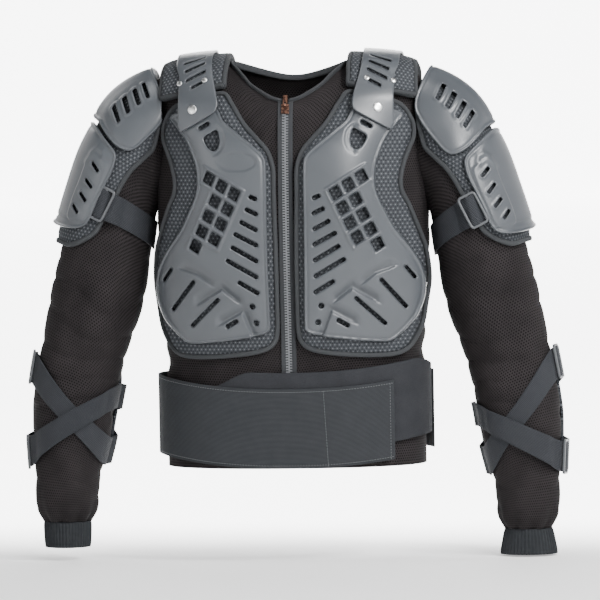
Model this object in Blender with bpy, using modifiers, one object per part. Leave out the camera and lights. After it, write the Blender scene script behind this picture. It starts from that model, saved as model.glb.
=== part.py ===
"""Armoured chest protector jacket, modelled as it is worn.

Units are metres, +Z is up and the wearer faces -Y, so +X is the wearer's left.
The origin lies on the shoulder line, midway between the two shoulder pads.
"Drop" is a distance down from the shoulder line, "lift" a distance off a cloth surface.
Tables hold shares of the named sizes above them.
"""

import math

import bmesh
import bpy
import numpy as np
from mathutils import Matrix, Vector

# Body form that the jacket is cut for
BODY_DROP = 0.530
BODY_HALF_WIDTH = 0.180
FRONT_DEPTH = 0.115
BACK_DEPTH = 0.100
BODY_SQUARENESS = 2.25

# Cloth and foam thicknesses
CLOTH = 0.0020
ELASTIC = 0.0022
PAD = 0.0080
ARM_PAD = 0.0070
PLATE = 0.0026
BINDING = 0.0065
SEAT_GAP = 0.0022
SLEEVE_SEAT = 0.0028
SHOULDER_SEAT = 0.0042
ARM_STRAP_SEAT = 0.0021
STRAP_SEAT = 0.0016
ELBOW_SEAT = 0.0019
RIDGE_SEAT = 0.0026
PLATE_SEAT = 0.0030
CUT_GAP = 0.0003

# Neck hole and front opening
NECK_HALF_WIDTH = 0.077
NECK_FRONT = 0.089
NECK_BACK = 0.064
FRONT_SLOT = 0.0090

# Chest pad and chest plate, both measured from the zip outwards
CHEST_PAD_TOP = 0.047
CHEST_PAD_HEIGHT = 0.340
CHEST_PAD_INNER = 0.0105
CHEST_PAD_WIDTH = 0.1735
CHEST_PLATE_TOP = 0.061
CHEST_PLATE_HEIGHT = 0.303
CHEST_PLATE_INNER = 0.0230
CHEST_PLATE_WIDTH = 0.155
CHEST_PLATE_BULGE = 0.0070

# Openings in a chest plate
WINDOW_SIDE = 0.0112
WINDOW_PITCH_ACROSS = 0.0193
WINDOW_PITCH_DOWN = 0.0210
WINDOW_TILT = math.radians(29.5)
WINDOW_START = (0.100, 0.150)
VENT_START = (0.036, 0.1766)
VENT_PITCH = 0.0201
VENT_TILT = math.radians(30.5)
VENT_WIDTH = 0.0056
CUTTER_REACH = 0.030

# Shoulder pad and the strap plate on it
SHOULDER_PAD_IN = 0.060
SHOULDER_PAD_CENTRE = BODY_HALF_WIDTH - SHOULDER_PAD_IN
SHOULDER_PAD_WIDTH = 0.086
SHOULDER_PAD_THICK = 0.0110
SHOULDER_PAD_FRONT_DROP = 0.043
SHOULDER_PAD_BACK_DROP = 0.085
STRAP_WIDTH = 0.046
STRAP_END_WIDTH = 0.054
STRAP_END_IN = 0.065
STRAP_END_CENTRE = BODY_HALF_WIDTH - STRAP_END_IN
STRAP_FRONT_DROP = 0.079
STRAP_BACK_DROP = 0.100
RIVET_RADIUS = 0.0062
STUD_RADIUS = 0.0032
RIVET_HEIGHT = 0.0018

# Sleeve, down its centre line, with a reach for each arm
SLEEVE_OUT = 0.126
SLEEVE_SPREAD = BODY_HALF_WIDTH + SLEEVE_OUT
SLEEVE_REACH = {"left": 0.617, "right": 0.602}
SLEEVE_HALF_WIDTH = 0.062
SLEEVE_HALF_DEPTH = 0.060
SLEEVE_FORWARD = 0.020
CUFF_LENGTH = 0.034
CUFF_HALF_WIDTH = 0.0325
CUFF_HALF_DEPTH = 0.0300
CUFF_FLARE = 0.0040
CUFF_WALL = 0.0030

# Kidney belt
BELT_HEIGHT = 0.104
BELT_TOP = 0.408
BELT_SAG = 0.017
UNDER_BELT_HEIGHT = 0.098
UNDER_BELT_RISE = 0.020
BELT_WALL = 0.0028
UNDER_BELT_WALL = 0.0040

# Arm straps, forearm straps and their slide buckles
ARM_STRAP_WIDTH = 0.038
FOREARM_STRAP_WIDTH = 0.040
BUCKLE_LENGTH = 0.046
BUCKLE_BREADTH = 0.027
BUCKLE_BAR = 0.0038
BUCKLE_THICK = 0.0034
ELBOW_PAD_WALL = 0.0060

# Zip
TAPE_WIDTH = 0.0065
TAPE_WALL = 0.0010
CHAIN_WIDTH = 0.0082
CHAIN_THICK = 0.0026
ZIP_FOOT_DROP = 0.392
TEETH_FOOT_DROP = 0.362
SLIDER_LENGTH = 0.0130
SLIDER_WIDTH = 0.0100
SLIDER_THICK = 0.0022
BAIL_RADIUS = 0.0009
PULL_LENGTH = 0.0150
PULL_WIDTH = 0.0058
PULL_THICK = 0.0014
PULL_EYE = 0.0032

# Further seats and places, drops first and then shares or degrees
STRAP_THICK = 0.0018
ARM_STRAP_ROOM = 0.0042
SLEEVE_LENGTH = 0.640
SHOULDER_PAD_SLANT = 0.17
STRAP_SLANT = 0.50
STRAP_CORNER = 0.004
STRAP_RISE = 0.0068
STRAP_SLOT_WIDTH = 0.0042
RIVET_SEAT = 0.0001
RIM_GAP = 0.0010
# Columns: distance outwards from the middle of the shoulder pad, drop
STRAP_RIVET = (0.001, 0.064)
STUDS = {"inner": (-0.014, 0.032), "outer": (0.021, 0.034)}
# Columns: inner end and outer end, measured as above, drop
STRAP_SLOTS = ((-0.006, 0.017, 0.010), (-0.007, 0.017, 0.017), (-0.006, 0.016, 0.025))
CAP_LIFT = 0.0122
CAP_MIDDLE = 8.0
CAP_BULGE = 0.0050
# Columns: along the sleeve, half angle forward, half angle back, bow
CAP_ROWS = (
    (0.030, 52, 52, 0.6),
    (0.045, 66, 60, 0.8),
    (0.070, 74, 66, 1.0),
    (0.095, 76, 66, 1.2),
    (0.120, 72, 62, 1.4),
    (0.140, 62, 54, 1.6),
    (0.152, 46, 42, 1.6),
)
# Columns: angle, start, end
CAP_SLOTS = ((42, 0.055, 0.078), (36, 0.082, 0.104), (30, 0.108, 0.128), (22, 0.130, 0.146))
ARM_PLATE_BULGE = 0.0030
ARM_PLATE_ROWS = (
    (0.164, 34, 34, 1.6),
    (0.178, 52, 50, 1.6),
    (0.205, 58, 56, 1.2),
    (0.240, 55, 53, 0.6),
    (0.275, 50, 50, 0.0),
    (0.305, 44, 44, 0.0),
    (0.318, 34, 34, 0.0),
)
# Columns: start, its angle, end, its angle
ARM_PLATE_SLOTS = (
    (0.205, 44, 0.222, 34),
    (0.228, 40, 0.244, 32),
    (0.250, 37, 0.266, 30),
    (0.272, 34, 0.288, 27),
)
ARM_PAD_ROWS = (
    (0.020, 60, 56, 0.0),
    (0.045, 74, 70, 0.2),
    (0.070, 80, 76, 0.4),
    (0.105, 84, 80, 0.5),
    (0.140, 84, 80, 0.6),
    (0.220, 76, 72, 0.4),
    (0.310, 58, 56, 0.0),
    (0.336, 44, 42, 0.0),
)
ARM_STRAP_DROPS = {"left": (0.203, 0.226), "right": (0.190, 0.212)}
ARM_BUCKLE_DROPS = {"left": 0.196, "right": 0.184}
ARM_BUCKLE_TURN = 76.0
FOREARM_BUCKLE_TURN = 10.0
# Upper and lower forearm strap: drops outside and inside
FOREARM_DROPS = {
    "left": ((0.410, 0.525), (0.529, 0.459)),
    "right": ((0.409, 0.505), (0.515, 0.428)),
}
ELBOW_PAD_ROWS = {
    "left": ((0.412, 44), (0.422, 66), (0.470, 72), (0.518, 68), (0.530, 48)),
    "right": ((0.392, 44), (0.402, 66), (0.450, 72), (0.498, 68), (0.510, 48)),
}
UNDER_BELT_LIFT = 0.0040
BELT_TURNS = (47.0, -262.0)
UNDER_BELT_TURNS = (97.0, -33.0)
ZIP_TOP_DROP = 0.046
SLIDER_DROP = 0.0600
HINGE_ALONG = 0.0040
HINGE_LIFT = 0.0013
BAIL_REACH = 0.0027

SIDES = {"left": 1.0, "right": -1.0}

# Shares of the sleeve to which the armhole and the chest pieces' clearance reach
ARMHOLE_END = 0.22
ARM_VOLUME_END = 0.31

# Facets round the body and round a sleeve
TORSO_COUNT = 28
SLEEVE_COUNT = 14

COLOURS = {
    "mesh_cloth": ((0.028, 0.026, 0.029), 0.85, 0.0),
    "binding": ((0.085, 0.092, 0.098), 0.75, 0.0),
    "spacer": ((0.100, 0.112, 0.125), 0.80, 0.0),
    "plate": ((0.150, 0.165, 0.185), 0.42, 0.0),
    "elastic": ((0.070, 0.074, 0.080), 0.80, 0.0),
    "pile": ((0.022, 0.023, 0.027), 0.95, 0.0),
    "rib": ((0.045, 0.049, 0.054), 0.85, 0.0),
    "buckle": ((0.130, 0.140, 0.150), 0.38, 0.0),
    "rivet": ((0.860, 0.860, 0.850), 0.22, 1.0),
    "zip_tape": ((0.060, 0.065, 0.072), 0.80, 0.0),
    "zip_teeth": ((0.230, 0.245, 0.260), 0.45, 0.0),
    "copper": ((0.230, 0.110, 0.080), 0.40, 1.0),
}

# Columns: drop, half width, front depth, back depth
TORSO_SECTIONS = (
    (0.0000, 0.40, 0.150, 0.160),
    (0.0070, 0.68, 0.300, 0.330),
    (0.0220, 0.89, 0.480, 0.530),
    (0.0480, 0.955, 0.620, 0.680),
    (0.0900, 0.985, 0.770, 0.830),
    (0.1700, 0.99, 0.900, 0.940),
    (0.2900, 1.00, 0.980, 0.990),
    (0.4500, 1.00, 1.000, 1.000),
    (0.6100, 0.975, 0.950, 0.930),
    (0.7200, 0.95, 0.905, 0.885),
    (1.0000, 0.95, 0.890, 0.920),
)

# Columns: down the pad, inner edge, outer edge
CHEST_PAD_OUTLINE = (
    (0.000, 0.37, 0.66),
    (0.070, 0.29, 0.79),
    (0.150, 0.16, 0.92),
    (0.205, 0.06, 0.88),
    (0.280, 0.015, 0.825),
    (0.375, 0.01, 0.825),
    (0.485, 0.00, 0.915),
    (0.600, 0.00, 0.985),
    (0.710, 0.00, 1.00),
    (0.810, 0.00, 0.975),
    (0.920, 0.02, 0.905),
    (0.975, 0.11, 0.845),
    (1.000, 0.40, 0.76),
)
CHEST_PLATE_OUTLINE = (
    (0.000, 0.44, 0.86),
    (0.075, 0.31, 0.77),
    (0.150, 0.13, 0.685),
    (0.205, 0.025, 0.635),
    (0.290, 0.00, 0.605),
    (0.375, 0.00, 0.625),
    (0.470, 0.00, 0.715),
    (0.590, 0.00, 0.880),
    (0.680, 0.00, 0.975),
    (0.770, 0.00, 1.00),
    (0.875, 0.00, 0.945),
    (0.955, 0.01, 0.825),
    (1.000, 0.50, 0.72),
)

# Windows of the square grid, as (steps across, steps down)
WINDOWS = ((0, 0), (1, 0), (2, 0), (1, 1), (2, 1), (1, 2), (2, 2), (1, 3), (2, 3), (1, 4))
# Run of each vent slot beside the zip, as shares of the longest
LONGEST_VENT = 0.0485
VENT_RUNS = (0.24, 0.36, 0.54, 0.74, 0.84, 1.00, 0.66)
# Other slots: columns are inner end, its drop, outer end, its drop, width, in shares of the plate
FREE_SLOTS = (
    (0.506, 0.052, 0.600, 0.090, 0.040),
    (0.850, 0.668, 0.928, 0.733, 0.026),
    (0.635, 0.719, 0.850, 0.853, 0.026),
    (0.426, 0.796, 0.678, 0.923, 0.030),
    (0.276, 0.896, 0.368, 0.923, 0.045),
    (0.138, 0.833, 0.143, 0.835, 0.048),
    (0.108, 0.907, 0.113, 0.909, 0.044),
)
SHIELD_VENT = (0.471, 0.132)
SHIELD_VENT_HALF = (0.0100, 0.0120)

# Columns: along the sleeve, spread, drop, half width, half depth, forward
SLEEVE_STATIONS = (
    (0.00, 0.480, 0.128, 1.06, 0.84, -0.50),
    (0.07, 0.608, 0.163, 1.02, 0.92, -0.30),
    (0.14, 0.694, 0.216, 0.90, 0.98, -0.05),
    (0.22, 0.754, 0.290, 0.86, 0.98, 0.15),
    (0.31, 0.802, 0.381, 0.93, 0.99, 0.30),
    (0.44, 0.851, 0.497, 1.00, 0.95, 0.38),
    (0.57, 0.919, 0.622, 0.91, 0.89, 0.45),
    (0.68, 0.961, 0.728, 0.88, 0.85, 0.56),
    (0.77, 0.979, 0.810, 0.83, 0.79, 0.66),
    (0.86, 0.996, 0.898, 0.70, 0.70, 0.80),
    (0.95, 1.000, 0.972, 0.66, 0.65, 0.95),
    (1.00, 1.000, 1.000, 0.52, 0.50, 1.00),
)
# Folds pressed in a sleeve: along, angle round it, half length, half angle, depth, turn per length
FOLD_DEPTH = 0.0060
SLEEVE_FOLDS = (
    (0.44, 140.0, 0.07, 26.0, 0.9, 200.0),
    (0.50, 75.0, 0.12, 16.0, 0.7, 60.0),
    (0.58, 110.0, 0.05, 30.0, 0.8, -300.0),
    (0.84, 60.0, 0.06, 26.0, 0.8, 420.0),
    (0.84, 120.0, 0.06, 26.0, 1.0, 420.0),
    (0.84, 250.0, 0.06, 26.0, 0.8, 300.0),
)
GATHER_COUNT = 9
GATHER_DEPTH = 0.0022


def curve_through(table, column, at):
    """Smooth value of one column of a table at the places asked for."""
    rows = np.array([row[: column + 1] for row in table], float)
    knots, values = rows[:, 0], rows[:, column]
    at = np.clip(np.asarray(at, float), knots[0], knots[-1])
    steps = np.diff(values) / np.diff(knots)
    slopes = np.concatenate([steps[:1], (steps[:-1] + steps[1:]) / 2, steps[-1:]])
    slopes[1:-1] = np.where(steps[:-1] * steps[1:] <= 0, 0, slopes[1:-1])
    low = np.clip(np.searchsorted(knots, at) - 1, 0, len(knots) - 2)
    span = knots[low + 1] - knots[low]
    t = (at - knots[low]) / span
    start, end = values[low], values[low + 1]
    return (
        start * (1 + 2 * t) * (1 - t) ** 2
        + slopes[low] * span * t * (1 - t) ** 2
        + end * t**2 * (3 - 2 * t)
        + slopes[low + 1] * span * t**2 * (t - 1)
    )


def smooth_step(low, high, at):
    t = np.clip((np.asarray(at, float) - low) / (high - low), 0, 1)
    return t * t * (3 - 2 * t)


def torso_sizes(drop):
    """Half width, front depth and back depth of the body at a drop."""
    share = np.asarray(drop, float) / BODY_DROP
    return (
        BODY_HALF_WIDTH * curve_through(TORSO_SECTIONS, 1, share),
        FRONT_DEPTH * curve_through(TORSO_SECTIONS, 2, share),
        BACK_DEPTH * curve_through(TORSO_SECTIONS, 3, share),
    )


def torso_round(angle, drop, lift=0.0):
    """Point on the body: angle 0 is the front centre, 90 degrees the wearer's left side."""
    angle, drop, lift = np.broadcast_arrays(angle, drop, lift)
    width, front, back = torso_sizes(drop)
    power = 2 / BODY_SQUARENESS
    depth = np.where(np.cos(angle) >= 0, front, back)
    x = width * np.sign(np.sin(angle)) * np.abs(np.sin(angle)) ** power
    y = -depth * np.sign(np.cos(angle)) * np.abs(np.cos(angle)) ** power
    small = 1e-4
    lower, upper = torso_sizes(drop + small), torso_sizes(drop - small)
    depth_low = np.where(np.cos(angle) >= 0, lower[1], lower[2])
    depth_high = np.where(np.cos(angle) >= 0, upper[1], upper[2])

    def level(w, d):
        return np.abs(x / w) ** BODY_SQUARENESS + np.abs(y / d) ** BODY_SQUARENESS

    grade = BODY_SQUARENESS - 1
    slope = np.stack(
        [
            BODY_SQUARENESS * np.sign(x) * np.abs(x / width) ** grade / width,
            BODY_SQUARENESS * np.sign(y) * np.abs(y / depth) ** grade / depth,
            (level(upper[0], depth_high) - level(lower[0], depth_low)) / (2 * small),
        ],
        axis=-1,
    )
    slope /= np.linalg.norm(slope, axis=-1, keepdims=True)
    return np.stack([x, y, -drop], axis=-1) + slope * lift[..., None]


def front_angle(x, drop, lift=PAD):
    """Angle at which a piece of this lift stands x to the side."""
    share = np.clip(x / (torso_sizes(drop)[0] + lift), -0.9995, 0.9995)
    return np.sign(share) * np.arcsin(np.abs(share) ** (BODY_SQUARENESS / 2))


def sleeve_fold(along, angle):
    """How far the sleeve's cloth is pressed in by its folds."""
    depth = np.zeros(np.broadcast(along, angle).shape)
    turn = np.degrees(angle)
    for centre, where, length, spread, share, slant in SLEEVE_FOLDS:
        away = (turn - where - slant * (along - centre) + 180) % 360 - 180
        depth = depth + share * FOLD_DEPTH * np.exp(
            -((along - centre) / length) ** 2 - (away / spread) ** 2
        )
    gathers = smooth_step(0.88, 0.99, along) * (1 + np.cos(GATHER_COUNT * np.asarray(angle)))
    return depth + GATHER_DEPTH * gathers


def sleeve_centre(side, along):
    reach = SLEEVE_REACH[side]
    return np.stack(
        [
            SIDES[side] * SLEEVE_SPREAD * curve_through(SLEEVE_STATIONS, 1, along),
            -SLEEVE_FORWARD * curve_through(SLEEVE_STATIONS, 5, along),
            -reach * curve_through(SLEEVE_STATIONS, 2, along),
        ],
        axis=-1,
    )


def sleeve_round(side, along, angle, lift=0.0, folds=True):
    """Point on a sleeve: angle 0 is the outer side, 90 degrees the front."""
    along, angle, lift = np.broadcast_arrays(along, angle, lift)
    small = 0.01
    middle = np.clip(along, small, 1 - small)
    way = sleeve_centre(side, middle + small) - sleeve_centre(side, middle - small)
    way[..., 1] = 0
    way /= np.linalg.norm(way, axis=-1, keepdims=True)
    outward = np.stack([-way[..., 2], np.zeros(along.shape), way[..., 0]], axis=-1) * SIDES[side]
    forward = np.array([0.0, -1.0, 0.0])
    width = SLEEVE_HALF_WIDTH * curve_through(SLEEVE_STATIONS, 3, along)
    depth = SLEEVE_HALF_DEPTH * curve_through(SLEEVE_STATIONS, 4, along)
    pressed = sleeve_fold(along, angle) if folds else 0.0
    across = (np.cos(angle) * (width - pressed))[..., None] * outward
    ahead = (np.sin(angle) * (depth - pressed))[..., None] * forward
    normal = (np.cos(angle) / width)[..., None] * outward + (np.sin(angle) / depth)[
        ..., None
    ] * forward
    normal /= np.linalg.norm(normal, axis=-1, keepdims=True)
    return sleeve_centre(side, along) + across + ahead + normal * lift[..., None]


def clear_scene():
    for obj in list(bpy.data.objects):
        bpy.data.objects.remove(obj)


def make_materials():
    made = {}
    for name, (colour, roughness, metallic) in COLOURS.items():
        material = bpy.data.materials.new(name)
        material.use_nodes = True
        shader = material.node_tree.nodes["Principled BSDF"]
        shader.inputs["Base Color"].default_value = (*colour, 1.0)
        shader.inputs["Roughness"].default_value = roughness
        shader.inputs["Metallic"].default_value = metallic
        made[name] = material
    return made


clear_scene()
MATERIALS = make_materials()
JACKET = bpy.data.collections.new("chest_protector")
CUTTERS = bpy.data.collections.new("cutters")
bpy.context.scene.collection.children.link(JACKET)
bpy.context.scene.collection.children.link(CUTTERS)


def add_mesh(name, body, material=None):
    """Object from a bmesh: a part if it has a material, and otherwise a cutter."""
    mesh = bpy.data.meshes.new(name)
    body.to_mesh(mesh)
    body.free()
    obj = bpy.data.objects.new(name, mesh)
    if material is None:
        obj.hide_render = True
        obj.display_type = "WIRE"
        CUTTERS.objects.link(obj)
        return obj
    mesh.materials.append(MATERIALS[material])
    mesh.shade_smooth()
    mesh.set_sharp_from_angle(angle=math.radians(40))
    JACKET.objects.link(obj)
    return obj


def bent_grid(points, closed=False):
    """A grid primitive whose vertices are moved to points[row, column]."""
    rows, columns = points.shape[:2]
    body = bmesh.new()
    bmesh.ops.create_grid(body, x_segments=columns - 1, y_segments=rows - 1, size=1.0)
    body.verts.ensure_lookup_table()
    for vertex, place in zip(body.verts, points.reshape(-1, 3)):
        vertex.co = place
    if closed:
        bmesh.ops.remove_doubles(body, verts=body.verts, dist=1e-6)
    return body


def face_outwards(body, hub):
    """Turns an open surface so that its faces point away from the hub."""
    total = sum(
        face.normal.dot(face.calc_center_median() - hub) * face.calc_area() for face in body.faces
    )
    if total < 0:
        bmesh.ops.reverse_faces(body, faces=body.faces)


def wall(name, points, thickness, material, hub, closed=False, outward=True):
    """A shell: an open surface given its thickness, on its outer side or its inner side."""
    body = bent_grid(points, closed)
    body.normal_update()
    face_outwards(body, Vector(hub))
    obj = add_mesh(name, body, material)
    solidify = obj.modifiers.new("thickness", "SOLIDIFY")
    solidify.thickness = thickness
    solidify.offset = 1.0 if outward else -1.0
    return obj


def filled_tube(name, points):
    """A closed solid cutter from rings of points, capped at both ends."""
    body = bent_grid(points, closed=True)
    bmesh.ops.holes_fill(body, edges=[e for e in body.edges if e.is_boundary], sides=0)
    bmesh.ops.triangulate(body, faces=[f for f in body.faces if len(f.verts) > 4])
    bmesh.ops.recalc_face_normals(body, faces=body.faces)
    return add_mesh(name, body)


def subtract(obj, cutter):
    cut = obj.modifiers.new("cut_" + cutter.name, "BOOLEAN")
    cut.operation = "DIFFERENCE"
    cut.object = cutter
    cut.solver = "EXACT"
    return obj


def unite(obj, other):
    join = obj.modifiers.new("join_" + other.name, "BOOLEAN")
    join.operation = "UNION"
    join.object = other
    join.solver = "EXACT"
    return obj


def turned_to(point, out, up_hint=(0, 0, 1)):
    """Matrix that seats a flat piece at a point, its Z along out and its Y near up_hint."""
    out = Vector(out).normalized()
    across = Vector(up_hint).cross(out).normalized()
    up = out.cross(across)
    turn = Matrix((across, up, out)).transposed().to_4x4()
    return Matrix.Translation(Vector(point)) @ turn


def torso_normal(angle, drop):
    return Vector(torso_round(angle, drop, 1.0) - torso_round(angle, drop, 0.0))


def full_turn(count):
    return np.linspace(0, 2 * math.pi, count + 1)


# Torso


def torso_grid(lift, drops, count):
    angles = full_turn(count) + math.pi / count
    return torso_round(angles[None, :], np.asarray(drops)[:, None], lift)


def torso_drops():
    return np.array([row[0] for row in TORSO_SECTIONS]) * BODY_DROP


def torso_volume(name, lift):
    """The body form as a solid, lifted off the cloth's outer face."""
    return filled_tube(name, torso_grid(lift, torso_drops(), TORSO_COUNT))


def make_torso():
    shell = wall("torso_shell", torso_grid(0.0, torso_drops(), TORSO_COUNT), CLOTH,
                 "mesh_cloth", chest_hub(), closed=True, outward=False)
    angles = full_turn(24)
    depth = np.where(np.cos(angles) >= 0, NECK_FRONT, NECK_BACK)
    ring = np.stack([NECK_HALF_WIDTH * np.sin(angles), -depth * np.cos(angles), 0 * angles], -1)
    ends = np.array([0.05, -0.15])
    neck = filled_tube("neck_cutter", ring[None] + ends[:, None, None] * np.array([0, 0, 1.0]))
    subtract(shell, neck)
    slot = bmesh.new()
    bmesh.ops.create_cube(slot, size=1.0)
    bmesh.ops.scale(slot, vec=(FRONT_SLOT, FRONT_DEPTH, 2 * BODY_DROP), verts=slot.verts)
    bmesh.ops.translate(slot, vec=(0, -FRONT_DEPTH * 0.9, -BODY_DROP / 2), verts=slot.verts)
    subtract(shell, add_mesh("zip_slot_cutter", slot))
    for side in SIDES:
        subtract(shell, arm_volume("armhole_cutter_" + side, side, -CLOTH, ARMHOLE_END))


def sleeve_alongs(last=1.0):
    alongs = np.array([row[0] for row in SLEEVE_STATIONS])
    return alongs[alongs <= last + 1e-9]


def arm_volume(name, side, lift, last):
    """A sleeve's outer form as a solid, from inside the body to the place asked for."""
    rings = sleeve_round(side, sleeve_alongs(last)[:, None], full_turn(SLEEVE_COUNT)[None, :],
                         lift, folds=False)
    inside = rings[:1] * np.array([0.5, 1.0, 1.0])
    return filled_tube(name, np.concatenate([inside, rings]))


# Chest pads and plates


def outline_grid(side, outline, top, height, inner, width, lift, columns, bulge=0.0, inset=0.0):
    """Grid between the inner and outer edge of an outline laid on the chest."""
    down = np.array([row[0] for row in outline])
    drops = top + inset + (height - 2 * inset) * down
    near = inner + inset + width * curve_through(outline, 1, down)
    far = inner - inset + width * curve_through(outline, 2, down)
    near_angle, far_angle = front_angle(near, drops), front_angle(far, drops)
    across = np.linspace(0, 1, columns)
    across = across * (1.35 - 0.35 * across)
    angles = near_angle[:, None] + (far_angle - near_angle)[:, None] * across[None, :]
    dome = np.sin(math.pi * across)[None, :] ** 0.7 * np.sin(math.pi * down)[:, None] ** 0.5
    points = torso_round(angles, drops[:, None], lift + bulge * np.nan_to_num(dome))
    points[..., 0] *= SIDES[side]
    return points


def chest_hub():
    return (0, 0, -BODY_DROP / 2)


def edge_loop(points):
    """The grid's edge, once round and closed."""
    return np.concatenate(
        [points[0, :-1], points[:-1, -1], points[-1, :0:-1], points[:0:-1, 0], points[:1, 0]]
    )


def make_chest_pad(side):
    def grid(inset):
        return outline_grid(side, CHEST_PAD_OUTLINE, CHEST_PAD_TOP, CHEST_PAD_HEIGHT,
                            CHEST_PAD_INNER, CHEST_PAD_WIDTH, SEAT_GAP, 6, inset=inset)

    pad = wall("chest_pad_" + side, grid(BINDING), PAD, "spacer", chest_hub())
    rim = np.stack([edge_loop(grid(0.0)), edge_loop(grid(BINDING - RIM_GAP))])
    edge = wall("chest_binding_" + side, rim, PAD, "binding", chest_hub(), closed=True)
    for piece in (pad, edge):
        subtract(piece, ARM_CUTTERS[side])


def plate_place(share_across, share_down):
    return (
        CHEST_PLATE_INNER + CHEST_PLATE_WIDTH * share_across,
        CHEST_PLATE_TOP + CHEST_PLATE_HEIGHT * share_down,
    )


def add_bar(body, start, end, width, sides):
    """A bar along Y whose outline is a capsule from start to end, on the plane of the chest."""
    start, end = Vector(start), Vector(end)
    run = end - start
    turn = math.atan2(run.y, run.x)
    if sides == 4:
        ends = ((-45, end), (-135, start), (135, start), (45, end))
        corner = width / math.sqrt(2)
        outline = [centre + corner * Vector((math.cos(math.radians(a) + turn),
                                             math.sin(math.radians(a) + turn)))
                   for a, centre in ends]
    else:
        half = sides // 2
        outline = []
        for centre, offset in ((end, -math.pi / 2), (start, math.pi / 2)):
            for step in range(half):
                a = turn + offset + math.pi * step / (half - 1)
                outline.append(centre + width / 2 * Vector((math.cos(a), math.sin(a))))
    front = [body.verts.new((p.x, -2 * FRONT_DEPTH, p.y)) for p in outline]
    face = body.faces.new(front)
    made = bmesh.ops.extrude_face_region(body, geom=[face])
    back = [v for v in made["geom"] if isinstance(v, bmesh.types.BMVert)]
    bmesh.ops.translate(body, vec=(0, 2 * FRONT_DEPTH - 0.002, 0), verts=back)


def plate_cutter(side):
    """All the openings of one chest plate, as bars that run front to back."""
    sign = SIDES[side]
    body = bmesh.new()

    def bar(x0, drop0, x1, drop1, width, sides=4):
        add_bar(body, (sign * x0, -drop0), (sign * x1, -drop1), width, sides)

    tilt = (math.cos(WINDOW_TILT), math.sin(WINDOW_TILT))
    for across, down in WINDOWS:
        x = WINDOW_START[0] - across * WINDOW_PITCH_ACROSS * tilt[0] + down * WINDOW_PITCH_DOWN * tilt[1] * 0.9
        drop = WINDOW_START[1] + across * WINDOW_PITCH_ACROSS * tilt[1] + down * WINDOW_PITCH_DOWN * tilt[0]
        bar(x, drop, x - 1e-4 * tilt[0], drop + 1e-4 * tilt[1], WINDOW_SIDE, 4)
    for step, share in enumerate(VENT_RUNS):
        run = LONGEST_VENT * share
        x, drop = VENT_START[0], VENT_START[1] + VENT_PITCH * step
        bar(x, drop, x + run * math.cos(VENT_TILT), drop - run * math.sin(VENT_TILT), VENT_WIDTH)
    for across0, down0, across1, down1, width in FREE_SLOTS:
        bar(*plate_place(across0, down0), *plate_place(across1, down1), width * CHEST_PLATE_WIDTH)
    x, drop = plate_place(*SHIELD_VENT)
    wide, tall = SHIELD_VENT_HALF
    bar(x - wide * 0.2, drop + tall * 0.3, x + wide * 0.2, drop - tall * 0.3, 1.6 * wide, 6)
    bmesh.ops.recalc_face_normals(body, faces=body.faces)
    return add_mesh("plate_openings_" + side, body)


def make_chest_plate(side):
    lift = SEAT_GAP + PAD + PLATE_SEAT
    grid = outline_grid(side, CHEST_PLATE_OUTLINE, CHEST_PLATE_TOP, CHEST_PLATE_HEIGHT,
                        CHEST_PLATE_INNER, CHEST_PLATE_WIDTH, lift, 6, bulge=CHEST_PLATE_BULGE)
    plate = wall("chest_plate_" + side, grid, PLATE, "plate", chest_hub())
    subtract(plate, plate_cutter(side))
    subtract(plate, ARM_CUTTERS[side])


# Shoulder pads, strap plates and rivets


def crest_drop(x):
    """Drop at which the body is just as wide as x."""
    low, high = 0.0, 0.09 * BODY_DROP
    for _ in range(40):
        middle = (low + high) / 2
        if torso_sizes(middle)[0] > x:
            high = middle
        else:
            low = middle
    return high


def over_shoulder(side, x_of, front_of, back_of, across, count, lift_of):
    """Grid over the shoulder, from its front edge to its back edge, for each share across."""
    columns = []
    climb = np.linspace(1, 0, 60) ** 2
    for share in across:
        crest = crest_drop(x_of(share, 0.0))
        ahead = crest + (front_of(share) - crest) * climb
        behind = crest + (back_of(share) - crest) * climb[::-1]
        turn_ahead = front_angle(x_of(share, ahead), ahead, 0.0)
        turn_behind = math.pi - front_angle(x_of(share, 0 * behind), behind, 0.0)
        drop = np.concatenate([ahead, behind[1:]])
        angle = np.concatenate([turn_ahead, turn_behind[1:]])
        path = torso_round(angle, drop, lift_of(drop, angle))
        run = np.concatenate([[0], np.cumsum(np.linalg.norm(np.diff(path, axis=0), axis=1))])
        even = np.linspace(0, run[-1], count)
        columns.append(np.stack([np.interp(even, run, path[:, i]) for i in range(3)], axis=-1))
    points = np.stack(columns, axis=1)
    points[..., 0] *= SIDES[side]
    return points


def shoulder_hub(side):
    return (SIDES[side] * SHOULDER_PAD_CENTRE, 0, -0.10)


def make_shoulder_pad(side):
    def grid(inset):
        half = SHOULDER_PAD_WIDTH / 2 - inset

        def place(share, drop):
            return SHOULDER_PAD_CENTRE + half * share + 0 * drop

        def front(share):
            return SHOULDER_PAD_FRONT_DROP + SHOULDER_PAD_SLANT * half * share - inset

        def back(share):
            return SHOULDER_PAD_BACK_DROP - inset

        return over_shoulder(side, place, front, back, np.linspace(-1, 1, 4), 13,
                             lambda drop, angle: SHOULDER_SEAT)

    pad = wall("shoulder_pad_" + side, grid(BINDING), SHOULDER_PAD_THICK, "spacer",
               shoulder_hub(side))
    rim = np.stack([edge_loop(grid(0.0)), edge_loop(grid(BINDING - RIM_GAP))])
    edge = wall("shoulder_binding_" + side, rim, SHOULDER_PAD_THICK, "binding",
                shoulder_hub(side), closed=True)
    return pad, edge


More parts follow.
